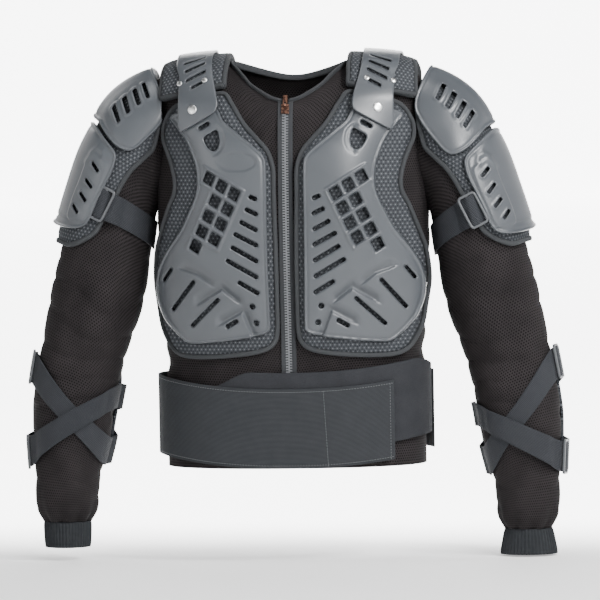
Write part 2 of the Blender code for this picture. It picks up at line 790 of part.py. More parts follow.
def strap_lift(drop, angle):
    """Lift of a strap plate: over the shoulder pad, then over the top of the chest plate."""
    on_plate = smooth_step(0.030, 0.058, drop) * (np.asarray(angle) < math.pi / 2)
    on_pad = SHOULDER_SEAT + SHOULDER_PAD_THICK + RIDGE_SEAT
    over_plate = 2 * SEAT_GAP + PAD + PLATE + STRAP_RISE
    return on_pad + (over_plate - on_pad) * on_plate


def make_strap(side):
    def place(share, drop):
        end = smooth_step(0.015, 0.065, drop)
        centre = SHOULDER_PAD_CENTRE + (STRAP_END_CENTRE - SHOULDER_PAD_CENTRE) * end
        return centre + share * (STRAP_WIDTH + (STRAP_END_WIDTH - STRAP_WIDTH) * end) / 2

    def front(share):
        corner = STRAP_CORNER * (abs(share) > 0.9)
        return STRAP_FRONT_DROP + STRAP_SLANT * STRAP_END_WIDTH * share / 2 - corner

    def back(share):
        return STRAP_BACK_DROP - STRAP_CORNER * (abs(share) > 0.9)

    across = (-1.0, -0.8, 0.0, 0.8, 1.0)
    grid = over_shoulder(side, place, front, back, across, 12, strap_lift)
    strap = wall("strap_plate_" + side, grid, PLATE, "plate", shoulder_hub(side))
    for number, (start, end, drop) in enumerate(STRAP_SLOTS):
        slot = bmesh.new()
        add_bar(slot, (0, 0), (SIDES[side] * (end - start), 0), STRAP_SLOT_WIDTH, 4)
        bmesh.ops.translate(slot, vec=(0, FRONT_DEPTH, 0), verts=slot.verts)
        bmesh.ops.recalc_face_normals(slot, faces=slot.faces)
        bmesh.ops.scale(slot, vec=(1, 0.25, 1), verts=slot.verts)
        angle = front_angle(SHOULDER_PAD_CENTRE + start, drop, 0.0)
        point = torso_round(angle, drop, strap_lift(drop, angle) + PLATE)
        out = torso_normal(math.pi * 0.25, drop)
        out.x = 0
        out.normalize()
        point[0] *= SIDES[side]
        # A bar runs along Y: tip it so that it leaves square to the strap
        tip = Matrix.Rotation(-math.asin(out.z), 4, "X")
        bmesh.ops.transform(slot, matrix=Matrix.Translation(Vector(point)) @ tip, verts=slot.verts)
        subtract(strap, add_mesh("strap_slot_%d_%s" % (number, side), slot))


def dome(radius, height, segments):
    """A low rivet head, its flat side on the XY plane."""
    body = bmesh.new()
    rings = ((1.0, 0.0), (1.0, 0.35), (0.72, 0.82), (0.30, 1.0))
    loops = []
    for wide, tall in rings:
        made = bmesh.ops.create_circle(body, segments=segments, radius=radius * wide)
        bmesh.ops.translate(body, vec=(0, 0, height * tall), verts=made["verts"])
        loops.append([e for e in body.edges if all(v in made["verts"] for v in e.verts)])
    for lower, upper in zip(loops, loops[1:]):
        bmesh.ops.bridge_loops(body, edges=lower + upper)
    bmesh.ops.contextual_create(body, geom=loops[0])
    bmesh.ops.contextual_create(body, geom=loops[-1])
    bmesh.ops.recalc_face_normals(body, faces=body.faces)
    return body


def make_rivet(name, side, out_from_middle, drop, radius, material):
    angle = front_angle(SHOULDER_PAD_CENTRE + out_from_middle, drop, PAD)
    point = torso_round(angle, drop, strap_lift(drop, angle) + PLATE + RIVET_SEAT)
    out = torso_normal(angle, drop)
    point[0] *= SIDES[side]
    out.x *= SIDES[side]
    body = dome(radius, RIVET_HEIGHT, 10 if radius > STUD_RADIUS else 5)
    bmesh.ops.transform(body, matrix=turned_to(point, out), verts=body.verts)
    add_mesh(name, body, material)


# Sleeve pieces


def make_sleeve(side):
    grid = sleeve_round(side, sleeve_alongs()[:, None], full_turn(SLEEVE_COUNT)[None, :])
    sleeve = wall("sleeve_" + side, grid, CLOTH, "mesh_cloth", sleeve_centre(side, 0.5),
                  closed=True, outward=False)
    subtract(sleeve, TORSO_CUTTER)
    subtract(sleeve, SHOULDER_CUTTERS[side])


def make_cuff(side):
    down = np.array([0.0, 1.0])
    angles = full_turn(14)
    centre = sleeve_centre(side, 1.0)
    half = CUFF_HALF_WIDTH + CUFF_FLARE * down * (1.6 if side == "left" else -0.4)
    deep = CUFF_HALF_DEPTH + 0 * down
    grid = np.stack(
        [
            centre[0] + half[:, None] * np.cos(angles),
            centre[1] - deep[:, None] * np.sin(angles),
            centre[2] - CUT_GAP - CUFF_LENGTH * down[:, None] + 0 * angles,
        ],
        axis=-1,
    )
    hub = tuple(centre - np.array([0, 0, CUFF_LENGTH / 2]))
    wall("cuff_" + side, grid, CUFF_WALL, "rib", hub, closed=True, outward=False)


def along_at(side, drop):
    dense = np.linspace(0, 1, 400)
    return np.interp(drop, -sleeve_centre(side, dense)[:, 2], dense)


def sleeve_patch(side, table, middle, lift_of, columns, inset=0.0, bulge=0.0):
    """Patch on a sleeve from rows of along, half angle forward and half angle back."""
    rows = np.array(table, float)
    count = len(rows)
    step = np.linspace(0, 1, count)
    along = rows[:, 0] + (inset / SLEEVE_LENGTH) * (1 - 2 * step)
    turn = inset / SLEEVE_HALF_WIDTH
    ahead, behind = np.radians(rows[:, 1]) - turn, np.radians(rows[:, 2]) - turn
    share = np.linspace(-1, 1, columns)
    angle = np.where(share[None, :] > 0, share * ahead[:, None], share * behind[:, None])
    # Each end bows: the table gives the line at the middle angle
    bow = np.radians(rows[:, 3])[:, None] * angle**2
    angles = angle + math.radians(middle)
    alongs = along[:, None] + bow
    dome_share = np.cos(share * math.pi / 2)[None, :] * np.sin(np.pi * step)[:, None]
    lift = lift_of(alongs, angles) + bulge * np.sqrt(np.clip(dome_share, 0, 1))
    return sleeve_round(side, alongs, angles, lift, folds=False)


def make_arm_pad(side):
    def grid(inset):
        return sleeve_patch(side, ARM_PAD_ROWS, 0.0, lambda a, t: SLEEVE_SEAT, 7, inset)

    hub = tuple(sleeve_centre(side, 0.15))
    pad = wall("arm_pad_" + side, grid(BINDING), ARM_PAD, "spacer", hub)
    rim = np.stack([edge_loop(grid(0.0)), edge_loop(grid(BINDING - RIM_GAP))])
    edge = wall("arm_binding_" + side, rim, ARM_PAD, "binding", hub, closed=True)
    for piece in (pad, edge):
        subtract(piece, TORSO_CUTTER)
        subtract(piece, SHOULDER_CUTTERS[side])


def arm_plate_lift():
    return SLEEVE_SEAT + ARM_PAD + ARM_STRAP_ROOM


def make_cap(side):
    grid = sleeve_patch(side, CAP_ROWS, CAP_MIDDLE, lambda a, t: CAP_LIFT, 6,
                        bulge=CAP_BULGE)
    cap = wall("shoulder_cap_" + side, grid, PLATE, "plate", tuple(sleeve_centre(side, 0.08)))
    for number, (angle, start, end) in enumerate(CAP_SLOTS):
        cut_sleeve_slot(cap, side, "cap_slot_%d" % number, start, end, angle, angle, 0.0030)


def make_arm_plate(side):
    grid = sleeve_patch(side, ARM_PLATE_ROWS, 0.0, lambda a, t: arm_plate_lift(), 6,
                        bulge=ARM_PLATE_BULGE)
    plate = wall("arm_plate_" + side, grid, PLATE, "plate", tuple(sleeve_centre(side, 0.2)))
    for number, (start, turn0, end, turn1) in enumerate(ARM_PLATE_SLOTS):
        cut_sleeve_slot(plate, side, "arm_slot_%d" % number, start, end, turn0, turn1, 0.0034)


def cut_sleeve_slot(plate, side, name, start, end, turn0, turn1, width):
    """A slot between two places on a sleeve, cut square to it."""
    ends = [
        sleeve_round(side, np.array(a), np.radians(t), arm_plate_lift(), folds=False)
        for a, t in ((start, turn0), (end, turn1))
    ]
    middle = (ends[0] + ends[1]) / 2
    a, t = (start + end) / 2, math.radians((turn0 + turn1) / 2)
    out = sleeve_round(side, np.array(a), t, 0.01, folds=False)
    out = out - sleeve_round(side, np.array(a), t, 0.0, folds=False)
    run = ends[1] - ends[0]
    seat = turned_to(middle, out, tuple(run))
    slot = bmesh.new()
    length = float(np.linalg.norm(run))
    add_bar(slot, (0, -length / 2), (0, length / 2), width, 4)
    bmesh.ops.translate(slot, vec=(0, FRONT_DEPTH, 0), verts=slot.verts)
    bmesh.ops.scale(slot, vec=(1, 0.16, 1), verts=slot.verts)
    bmesh.ops.transform(slot, matrix=seat @ Matrix.Rotation(-math.pi / 2, 4, "X"), verts=slot.verts)
    bmesh.ops.recalc_face_normals(slot, faces=slot.faces)
    subtract(plate, add_mesh(name + "_" + side, slot))


def loop_band(name, side, outer_drop, inner_drop, width, thickness, lift_of, material, count=18):
    """A strap round a sleeve, its middle line at one drop outside and another inside."""
    angles = full_turn(count)
    outer, inner = along_at(side, outer_drop), along_at(side, inner_drop)
    middle = (outer + inner) / 2 + (outer - inner) / 2 * np.cos(angles)
    half = width / 2 / SLEEVE_LENGTH
    alongs = middle[None, :] + np.array([-half, half])[:, None]
    grid = sleeve_round(side, alongs, angles[None, :], lift_of(angles)[None, :], folds=False)
    return wall(name, grid, thickness, material, tuple(sleeve_centre(side, middle[0])), closed=True)


def back_zone(angles, low=198, high=342, ramp=12):
    turn = np.degrees(angles) % 360
    return smooth_step(low - ramp, low, turn) * (1 - smooth_step(high, high + ramp, turn))


def crossing_zone(angles):
    turn = np.degrees(angles) % 180
    return smooth_step(34, 54, turn) * (1 - smooth_step(126, 146, turn))


def forearm_lift(layer):
    def lift(angles):
        base = STRAP_SEAT + (ELBOW_PAD_WALL + SEAT_GAP) * back_zone(angles)
        return base + layer * (STRAP_THICK + SEAT_GAP) * crossing_zone(angles)

    return lift


def make_buckle(name, side, drop, lift, tilt, along_shift=0.0, angle=0.0):
    """A slide buckle: a frame with a middle bar, seated on the strap."""
    body = bmesh.new()
    made = bmesh.ops.create_cube(body, size=1.0)
    bmesh.ops.scale(body, vec=(BUCKLE_BREADTH, BUCKLE_LENGTH, BUCKLE_THICK), verts=made["verts"])
    along = along_at(side, drop)
    point = sleeve_round(side, np.array(along), np.array(angle), lift, folds=False)
    rise = sleeve_round(side, np.array(along), np.array(angle), lift + 0.01, folds=False) - point
    reach = BUCKLE_LENGTH / 2 / SLEEVE_LENGTH
    ends = [
        sleeve_round(side, np.array(along + step), np.array(angle), lift, folds=False)
        for step in (-reach, reach)
    ]
    way = Vector(ends[1] - ends[0]).normalized()
    out = Vector(rise) - way * way.dot(Vector(rise))
    seat = turned_to(point, out, way) @ Matrix.Rotation(tilt, 4, "Z")
    seat = seat @ Matrix.Translation(Vector((0, 0, BUCKLE_THICK / 2)))
    bmesh.ops.transform(body, matrix=seat, verts=body.verts)
    buckle = add_mesh(name, body, "buckle")
    span = (BUCKLE_BREADTH - 3 * BUCKLE_BAR) / 2
    for number, sign in enumerate((-1, 1)):
        hole = bmesh.new()
        bmesh.ops.create_cube(hole, size=1.0)
        bmesh.ops.scale(hole, vec=(span, BUCKLE_LENGTH - 2 * BUCKLE_BAR, 0.02), verts=hole.verts)
        shift = Matrix.Translation(Vector((sign * (BUCKLE_BAR + span) / 2, 0, 0)))
        bmesh.ops.transform(hole, matrix=seat @ shift, verts=hole.verts)
        subtract(buckle, add_mesh("%s_hole_%d" % (name, number), hole))
    return buckle


def make_arm_straps(side):
    def lift(angles):
        away = np.abs((np.degrees(angles) + 180) % 360 - 180)
        return ARM_STRAP_SEAT + (ARM_PAD + SEAT_GAP) * (1 - smooth_step(88, 104, away))

    drops = ARM_STRAP_DROPS[side]
    loop_band("arm_strap_" + side, side, drops[0], drops[1], ARM_STRAP_WIDTH, STRAP_THICK,
              lift, "elastic")
    rise = ARM_STRAP_SEAT + ARM_PAD + SEAT_GAP + STRAP_THICK
    make_buckle("arm_buckle_" + side, side, ARM_BUCKLE_DROPS[side], rise, 0.0,
                angle=math.radians(ARM_BUCKLE_TURN))


def make_forearm(side):
    upper, lower = FOREARM_DROPS[side]
    rows = [(along_at(side, drop), turn, turn, 0.0) for drop, turn in ELBOW_PAD_ROWS[side]]
    grid = sleeve_patch(side, rows, 270.0, lambda a, t: ELBOW_SEAT, 8)
    hub = tuple(sleeve_centre(side, along_at(side, 0.46)))
    wall("elbow_pad_" + side, grid, ELBOW_PAD_WALL, "spacer", hub)
    for layer, (level, (outer, inner)) in enumerate((("upper", upper), ("lower", lower))):
        loop_band("forearm_strap_%s_%s" % (level, side), side, outer, inner, FOREARM_STRAP_WIDTH,
                  STRAP_THICK, forearm_lift(layer), "elastic")
        rise = STRAP_SEAT + STRAP_THICK - CUT_GAP
        make_buckle("forearm_buckle_%s_%s" % (level, side), side, outer, rise, 0.0,
                    angle=math.radians(FOREARM_BUCKLE_TURN))


# Belt


def belt_band(name, first, last, count, top_of, bottom_of, lift, thickness, material):
    angles = np.radians(np.linspace(first, last, count))
    share = np.linspace(0, 1, 2)[:, None]
    top, bottom = top_of(angles)[None, :], bottom_of(angles)[None, :]
    grid = torso_round(angles[None, :], top + (bottom - top) * share, lift)
    return wall(name, grid, thickness, material, (0, 0, -BELT_TOP - BELT_HEIGHT / 2))


def make_belts():
    def sag(angles):
        return BELT_SAG * np.clip(np.cos(angles), 0, 1) ** 2

    def rise(angles):
        return UNDER_BELT_RISE * np.clip(np.cos(angles - math.radians(70)), 0, 1)

    belt_band("kidney_belt", *BELT_TURNS, 26, lambda a: BELT_TOP + sag(a),
              lambda a: BELT_TOP + sag(a) + BELT_HEIGHT,
              UNDER_BELT_LIFT + UNDER_BELT_WALL + CUT_GAP * 4, BELT_WALL, "elastic")
    belt_band("under_belt", *UNDER_BELT_TURNS, 11, lambda a: BELT_TOP + 0.002 + sag(a) - rise(a),
              lambda a: BELT_TOP + UNDER_BELT_HEIGHT + sag(a) - rise(a),
              UNDER_BELT_LIFT, UNDER_BELT_WALL, "pile")


# Zip


def strip(name, x0, x1, top, foot, lift, thickness, material):
    inside = [d for d in torso_drops() if top < d < foot]
    drops = np.array([top, *inside, foot])
    middle = torso_round(0.0, drops, 0.0)
    normal = torso_round(0.0, drops, 1.0) - middle
    line = middle + normal * lift
    grid = np.stack([line + np.array([x, 0, 0]) for x in (x0, x1)], axis=1)
    return wall(name, grid, thickness, material, chest_hub())


def make_zip():
    for side, sign in SIDES.items():
        inner = FRONT_SLOT / 2 + CUT_GAP
        ends = sorted((sign * inner, sign * (inner + TAPE_WIDTH - 0.0018)))
        strip("zip_tape_" + side, *ends, ZIP_TOP_DROP, BODY_DROP - 0.004, CUT_GAP * 2, TAPE_WALL,
              "zip_tape")
    strip("zip_chain", -CHAIN_WIDTH / 2, CHAIN_WIDTH / 2, ZIP_TOP_DROP + 0.012,
          BODY_DROP - 0.004, -CLOTH / 2, CHAIN_THICK, "zip_teeth")
    normal = torso_normal(0.0, SLIDER_DROP)
    point = torso_round(0.0, SLIDER_DROP, -CLOTH / 2 + CHAIN_THICK + CUT_GAP * 2)
    seat = turned_to(point, normal)
    body = bmesh.new()
    bmesh.ops.create_cube(body, size=1.0)
    bmesh.ops.scale(body, vec=(SLIDER_WIDTH, SLIDER_LENGTH, SLIDER_THICK), verts=body.verts)
    bmesh.ops.translate(body, vec=(0, 0, SLIDER_THICK / 2), verts=body.verts)
    bmesh.ops.transform(body, matrix=seat, verts=body.verts)
    slider = add_mesh("zip_slider", body, "copper")
    # The bail is an arch over the hinge line of the pull
    arch = []
    for turn in np.linspace(-0.15 * math.pi, 1.15 * math.pi, 6):
        centre = Vector((0, BAIL_REACH * math.cos(turn), BAIL_REACH * math.sin(turn)))
        ring = []
        for spot in full_turn(5):
            out = Vector((math.sin(spot), math.cos(turn) * math.cos(spot),
                          math.sin(turn) * math.cos(spot)))
            ring.append(centre + BAIL_RADIUS * out)
        arch.append(ring)
    lift = Matrix.Translation(Vector((0, HINGE_ALONG, SLIDER_THICK + HINGE_LIFT)))
    bail = filled_tube("zip_bail", np.array([[list(p) for p in ring] for ring in arch]))
    bail.data.transform(seat @ lift)
    unite(slider, bail)
    hinge = seat @ lift
    frame = bmesh.new()
    bmesh.ops.create_cube(frame, size=1.0)
    bmesh.ops.scale(frame, vec=(PULL_WIDTH, PULL_LENGTH, PULL_THICK), verts=frame.verts)
    bmesh.ops.translate(frame, vec=(0, PULL_LENGTH / 2 - PULL_THICK / 2, 0), verts=frame.verts)
    bmesh.ops.transform(frame, matrix=hinge, verts=frame.verts)
    pull = add_mesh("zip_pull", frame, "copper")
    eye = bmesh.new()
    bmesh.ops.create_cube(eye, size=1.0)
    bmesh.ops.scale(eye, vec=(PULL_EYE, 0.0042, 0.02), verts=eye.verts)
    bmesh.ops.translate(eye, vec=(0, PULL_THICK / 2 + 0.0021, 0), verts=eye.verts)
    bmesh.ops.transform(eye, matrix=hinge, verts=eye.verts)
    subtract(pull, add_mesh("zip_pull_eye", eye))


ARM_CUTTERS = {side: arm_volume("arm_volume_" + side, side, SEAT_GAP, ARM_VOLUME_END) for side in SIDES}
TORSO_CUTTER = torso_volume("torso_volume", CUT_GAP * 3)


def shoulder_volume(side):
    """Where the shoulder pad lies, with room round it, for cutting the arm pad."""
    half = SHOULDER_PAD_WIDTH / 2 + 0.0035

    def place(share, drop):
        return SHOULDER_PAD_CENTRE + half * share + 0 * drop

    rings = []
    for lift in (-0.012, SHOULDER_SEAT + SHOULDER_PAD_THICK + SEAT_GAP):
        grid = over_shoulder(
            side, place,
            lambda s: SHOULDER_PAD_FRONT_DROP + SHOULDER_PAD_SLANT * half * s + 0.003,
            lambda s: SHOULDER_PAD_BACK_DROP + 0.003,
            np.linspace(-1, 1, 5), 16, lambda d, a, up=lift: up)
        rings.append(grid)
    rows = [np.concatenate([low, high[::-1], low[:1]]) for low, high in zip(*rings)]
    return filled_tube("shoulder_volume_" + side, np.array(rows))


SHOULDER_CUTTERS = {side: shoulder_volume(side) for side in SIDES}

make_torso()
make_zip()
make_belts()
for side in SIDES:
    make_chest_pad(side)
    make_chest_plate(side)
    make_shoulder_pad(side)
    make_strap(side)
    make_rivet("strap_rivet_" + side, side, *STRAP_RIVET, RIVET_RADIUS, "rivet")
    for place, (x, drop) in STUDS.items():
        make_rivet("strap_stud_%s_%s" % (place, side), side, x, drop, STUD_RADIUS, "buckle")
    make_sleeve(side)
    make_cuff(side)
    make_arm_pad(side)
    make_cap(side)
    make_arm_plate(side)
    make_arm_straps(side)
    make_forearm(side)
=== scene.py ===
"""Looks of the armoured chest protector jacket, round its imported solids.

Units are metres, +Z is up and the wearer faces -Y, so +X is the wearer's left.
"Drop" is a distance down from the shoulder line, "lift" a distance off a cloth surface,
"along" a share of a sleeve's length. Tables hold shares of the named sizes above them.
"""

import math

import bmesh
import bpy
import numpy as np
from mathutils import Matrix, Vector
from mathutils.geometry import delaunay_2d_cdt


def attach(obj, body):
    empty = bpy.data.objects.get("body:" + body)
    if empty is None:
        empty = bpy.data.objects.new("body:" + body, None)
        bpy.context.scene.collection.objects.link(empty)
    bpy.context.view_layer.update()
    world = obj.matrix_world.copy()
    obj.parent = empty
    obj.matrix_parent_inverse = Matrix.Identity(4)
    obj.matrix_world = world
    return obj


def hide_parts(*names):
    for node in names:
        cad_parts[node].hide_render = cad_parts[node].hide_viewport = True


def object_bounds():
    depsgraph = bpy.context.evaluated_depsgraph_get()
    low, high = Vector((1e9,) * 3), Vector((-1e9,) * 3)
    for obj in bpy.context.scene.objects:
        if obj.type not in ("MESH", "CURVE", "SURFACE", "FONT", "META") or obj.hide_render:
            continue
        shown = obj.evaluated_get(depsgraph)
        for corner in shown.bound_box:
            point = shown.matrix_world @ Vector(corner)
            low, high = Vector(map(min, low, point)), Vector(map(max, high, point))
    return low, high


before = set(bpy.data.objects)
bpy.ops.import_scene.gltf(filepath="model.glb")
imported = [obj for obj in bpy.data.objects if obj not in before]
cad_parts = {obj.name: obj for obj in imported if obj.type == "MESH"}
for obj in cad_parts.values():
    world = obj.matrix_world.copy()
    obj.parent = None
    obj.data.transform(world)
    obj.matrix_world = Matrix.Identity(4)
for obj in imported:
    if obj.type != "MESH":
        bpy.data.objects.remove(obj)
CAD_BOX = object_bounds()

SIDES = {"left": 1.0, "right": -1.0}
BODY = "jacket"

# Body form that the jacket is cut for
BODY_DROP = 0.530
BODY_HALF_WIDTH = 0.180
FRONT_DEPTH = 0.115
BACK_DEPTH = 0.100
BODY_SQUARENESS = 2.25

# Cloth, foam and plastic thicknesses, and the seats between them
CLOTH = 0.0020
PAD = 0.0080
ARM_PAD = 0.0070
PLATE = 0.0026
BINDING = 0.0065
BINDING_LAP = 0.0006
BINDING_POWER = 2.8
SEAT_GAP = 0.0022
SLEEVE_SEAT = 0.0028
SHOULDER_SEAT = 0.0042
STRAP_SEAT = 0.0016
ARM_STRAP_SEAT = 0.0021
ELBOW_SEAT = 0.0019
RIDGE_SEAT = 0.0026
PLATE_SEAT = 0.0030
STRAP_THICK = 0.0018
CUT_GAP = 0.0003

# Neck hole and front opening
NECK_HALF_WIDTH = 0.077
NECK_FRONT = 0.089
NECK_BACK = 0.064
FRONT_SLOT = 0.0090
ZIP_TOP_DROP = 0.046

# Shoulder pad and the strap plate on it
SHOULDER_PAD_CENTRE = 0.120
SHOULDER_PAD_WIDTH = 0.086
SHOULDER_PAD_THICK = 0.0110
SHOULDER_PAD_FRONT_DROP = 0.043
SHOULDER_PAD_BACK_DROP = 0.085
SHOULDER_PAD_SLANT = 0.17
STRAP_WIDTH = 0.046
STRAP_END_WIDTH = 0.054
STRAP_END_CENTRE = 0.115
STRAP_FRONT_DROP = 0.079
STRAP_BACK_DROP = 0.100
STRAP_SLANT = 0.50
STRAP_RISE = 0.0068

# Sleeve, down its centre line, with a reach for each arm
SLEEVE_SPREAD = 0.306
SLEEVE_REACH = {"left": 0.617, "right": 0.602}
SLEEVE_HALF_WIDTH = 0.062
SLEEVE_HALF_DEPTH = 0.060
SLEEVE_FORWARD = 0.020
SLEEVE_LENGTH = 0.640
CUFF_LENGTH = 0.034
CUFF_HALF_WIDTH = 0.0325
CUFF_HALF_DEPTH = 0.0300
CUFF_FLARE = {"left": 0.0064, "right": -0.0016}
CUFF_RIBS = 46
CUFF_WALL = 0.0030

# Belts
BELT_HEIGHT = 0.104
BELT_TOP = 0.408
BELT_SAG = 0.017
BELT_WALL = 0.0028
UNDER_BELT_HEIGHT = 0.098
UNDER_BELT_LIFT = 0.0040
UNDER_BELT_WALL = 0.0040
BELT_LIFT = UNDER_BELT_LIFT + UNDER_BELT_WALL + 4 * CUT_GAP
BELT_TURNS = (47.0, -262.0)
UNDER_BELT_TURNS = (97.0, -33.0)

# Columns: drop, half width, front depth, back depth
TORSO_SECTIONS = (
    (0.0000, 0.40, 0.150, 0.160),
    (0.0070, 0.68, 0.300, 0.330),
    (0.0220, 0.89, 0.480, 0.530),
    (0.0480, 0.955, 0.620, 0.680),
    (0.0900, 0.985, 0.770, 0.830),
    (0.1700, 0.99, 0.900, 0.940),
    (0.2900, 1.00, 0.980, 0.990),
    (0.4500, 1.00, 1.000, 1.000),
    (0.6100, 0.975, 0.950, 0.930),
    (0.7200, 0.95, 0.905, 0.885),
    (1.0000, 0.95, 0.890, 0.920),
)

# Columns: along the sleeve, spread, drop, half width, half depth, forward
SLEEVE_STATIONS = (
    (0.00, 0.480, 0.128, 1.06, 0.84, -0.50),
    (0.07, 0.608, 0.163, 1.02, 0.92, -0.30),
    (0.14, 0.694, 0.216, 0.90, 0.98, -0.05),
    (0.22, 0.754, 0.290, 0.86, 0.98, 0.15),
    (0.31, 0.802, 0.381, 0.93, 0.99, 0.30),
    (0.44, 0.851, 0.497, 1.00, 0.95, 0.38),
    (0.57, 0.919, 0.622, 0.91, 0.89, 0.45),
    (0.68, 0.961, 0.728, 0.88, 0.85, 0.56),
    (0.77, 0.979, 0.810, 0.83, 0.79, 0.66),
    (0.86, 0.996, 0.898, 0.70, 0.70, 0.80),
    (0.95, 1.000, 0.972, 0.66, 0.65, 0.95),
    (1.00, 1.000, 1.000, 0.52, 0.50, 1.00),
)
# Folds pressed in a sleeve: along, angle round it, half length, half angle, depth, turn per length
FOLD_DEPTH = 0.0060
SLEEVE_FOLDS = (
    (0.44, 140.0, 0.07, 26.0, 0.9, 200.0),
    (0.50, 75.0, 0.12, 16.0, 0.7, 60.0),
    (0.58, 110.0, 0.05, 30.0, 0.8, -300.0),
    (0.84, 60.0, 0.06, 26.0, 0.8, 420.0),
    (0.84, 120.0, 0.06, 26.0, 1.0, 420.0),
    (0.84, 250.0, 0.06, 26.0, 0.8, 300.0),
)
GATHER_COUNT = 9
GATHER_DEPTH = 0.0022

# Outlines on the chest, as (distance from the zip, drop) in millimetres
CHEST_PAD_OUTLINE = (
    (82.5, 38), (68, 52), (52, 76.6), (34.6, 96), (21.3, 111), (14.6, 127), (12, 142), (12, 169),
    (10.5, 240), (10.3, 315), (10.8, 347), (14.6, 363), (26.6, 374), (49, 380), (85, 384),
    (117, 385.5), (141, 384), (155.6, 377), (165.6, 364), (175, 343), (180, 315.5), (184, 288),
    (183.5, 264), (180, 240), (171.6, 214), (161, 185), (153, 168), (151.6, 153), (155.6, 133),
    (162, 115), (168, 98), (166, 76), (150, 54), (118, 44),
)
CHEST_PLATE_OUTLINE = (
    (92, 61), (80, 77), (62, 92), (41, 108), (27.5, 121), (24, 137), (24, 200), (23.5, 268),
    (22.4, 330), (24.6, 347), (45, 354), (77, 359), (110, 362.5), (132, 363), (146, 354),
    (160, 340), (169, 328), (177, 306), (178, 282), (173.6, 264), (161.6, 243), (141, 215),
    (128, 190), (120, 172), (117, 156), (118, 136), (124, 117.5), (132, 100), (145, 83),
    (153, 69), (125, 62),
)


def signed_power(value, power):
    """|value|^power with the sign of the value, which squares off a circle."""
    return np.sign(value) * np.abs(value) ** power


def gauss(away, width):
    return np.exp(-((away / width) ** 2))


def vectors(*parts):
    """Arrays of points from the arrays of their coordinates."""
    return np.stack(np.broadcast_arrays(*parts), axis=-1)


def summed(steps):
    return np.concatenate([[0], np.cumsum(steps)])


def curve_through(table, column, at):
    """Smooth value of one column of a table at the places asked for, by cubic Hermite pieces."""
    rows = np.array([row[: column + 1] for row in table], float)
    knots, values = rows[:, 0], rows[:, column]
    at = np.clip(np.asarray(at, float), knots[0], knots[-1])
    steps = np.diff(values) / np.diff(knots)
    slopes = np.concatenate([steps[:1], (steps[:-1] + steps[1:]) / 2, steps[-1:]])
    slopes[1:-1] = np.where(steps[:-1] * steps[1:] <= 0, 0, slopes[1:-1])
    low = np.clip(np.searchsorted(knots, at) - 1, 0, len(knots) - 2)
    span = knots[low + 1] - knots[low]
    t = (at - knots[low]) / span
    start, end = values[low], values[low + 1]
    return (
        start * (1 + 2 * t) * (1 - t) ** 2
        + slopes[low] * span * t * (1 - t) ** 2
        + end * t**2 * (3 - 2 * t)
        + slopes[low + 1] * span * t**2 * (t - 1)
    )


def smooth_step(low, high, at):
    """0 below low and 1 above high, with the curve 3t^2 - 2t^3 between."""
    t = np.clip((np.asarray(at, float) - low) / (high - low), 0, 1)
    return t * t * (3 - 2 * t)


def torso_sizes(drop):
    """Half width, front depth and back depth of the body at a drop."""
    share = np.asarray(drop, float) / BODY_DROP
    return (
        BODY_HALF_WIDTH * curve_through(TORSO_SECTIONS, 1, share),
        FRONT_DEPTH * curve_through(TORSO_SECTIONS, 2, share),
        BACK_DEPTH * curve_through(TORSO_SECTIONS, 3, share),
    )


def torso_level(points):
    """|x / half width|^p + |y / depth|^p, which is 1 on the body and less inside it."""
    drop = -points[..., 2]
    width, front, back = torso_sizes(drop)
    depth = np.where(points[..., 1] <= 0, front, back)
    return (
        np.abs(points[..., 0] / width) ** BODY_SQUARENESS
        + np.abs(points[..., 1] / depth) ** BODY_SQUARENESS
    )


def torso_round(angle, drop, lift=0.0):
    """Point on the body, a superellipse at each drop, moved off it along the slope of its level.

    Angle 0 is the front centre and 90 degrees the wearer's left side.
    """
    angle, drop, lift = np.broadcast_arrays(angle, drop, lift)
    width, front, back = torso_sizes(drop)
    ahead = np.cos(angle) >= 0
    depth = np.where(ahead, front, back)
    x = width * signed_power(np.sin(angle), 2 / BODY_SQUARENESS)
    y = -depth * signed_power(np.cos(angle), 2 / BODY_SQUARENESS)
    small = 1e-4

    def level(at):
        wide, fore, aft = torso_sizes(at)
        deep = np.where(ahead, fore, aft)
        return np.abs(x / wide) ** BODY_SQUARENESS + np.abs(y / deep) ** BODY_SQUARENESS

    grade = BODY_SQUARENESS - 1
    slope = vectors(BODY_SQUARENESS * signed_power(x / width, grade) / width,
                    BODY_SQUARENESS * signed_power(y / depth, grade) / depth,
                    (level(drop - small) - level(drop + small)) / (2 * small))
    return vectors(x, y, -drop) + unit(slope) * lift[..., None]


def front_angle(x, drop, lift=PAD):
    """Angle at which a piece of this lift stands x to the side."""
    share = np.clip(x / (torso_sizes(drop)[0] + lift), -0.9995, 0.9995)
    return np.sign(share) * np.arcsin(np.abs(share) ** (BODY_SQUARENESS / 2))


def chest_place(side, flat, lift):
    """Chest point at a distance from the zip and a drop, which are the columns of flat.

    The angle is corrected in turns until the lifted point stands at that distance.
    """
    goal = flat[..., 0]
    for _ in range(6):
        points = torso_round(front_angle(goal, flat[..., 1], 0.0), flat[..., 1], lift)
        goal = np.clip(goal + flat[..., 0] - points[..., 0], 0.0, 1.05 * flat[..., 0].max())
    points[..., 0] *= SIDES[side]
    return points


def sleeve_fold(along, angle):
    """How far folds press the sleeve in: slanted Gaussian dents, and waves above the cuff."""
    depth = np.zeros(np.broadcast(along, angle).shape)
    turn = np.degrees(angle)
    for centre, where, length, spread, share, slant in SLEEVE_FOLDS:
        away = (turn - where - slant * (along - centre) + 180) % 360 - 180
        depth = depth + share * FOLD_DEPTH * gauss(along - centre, length) * gauss(away, spread)
    gathers = smooth_step(0.88, 0.99, along) * (1 + np.cos(GATHER_COUNT * np.asarray(angle)))
    return depth + GATHER_DEPTH * gathers


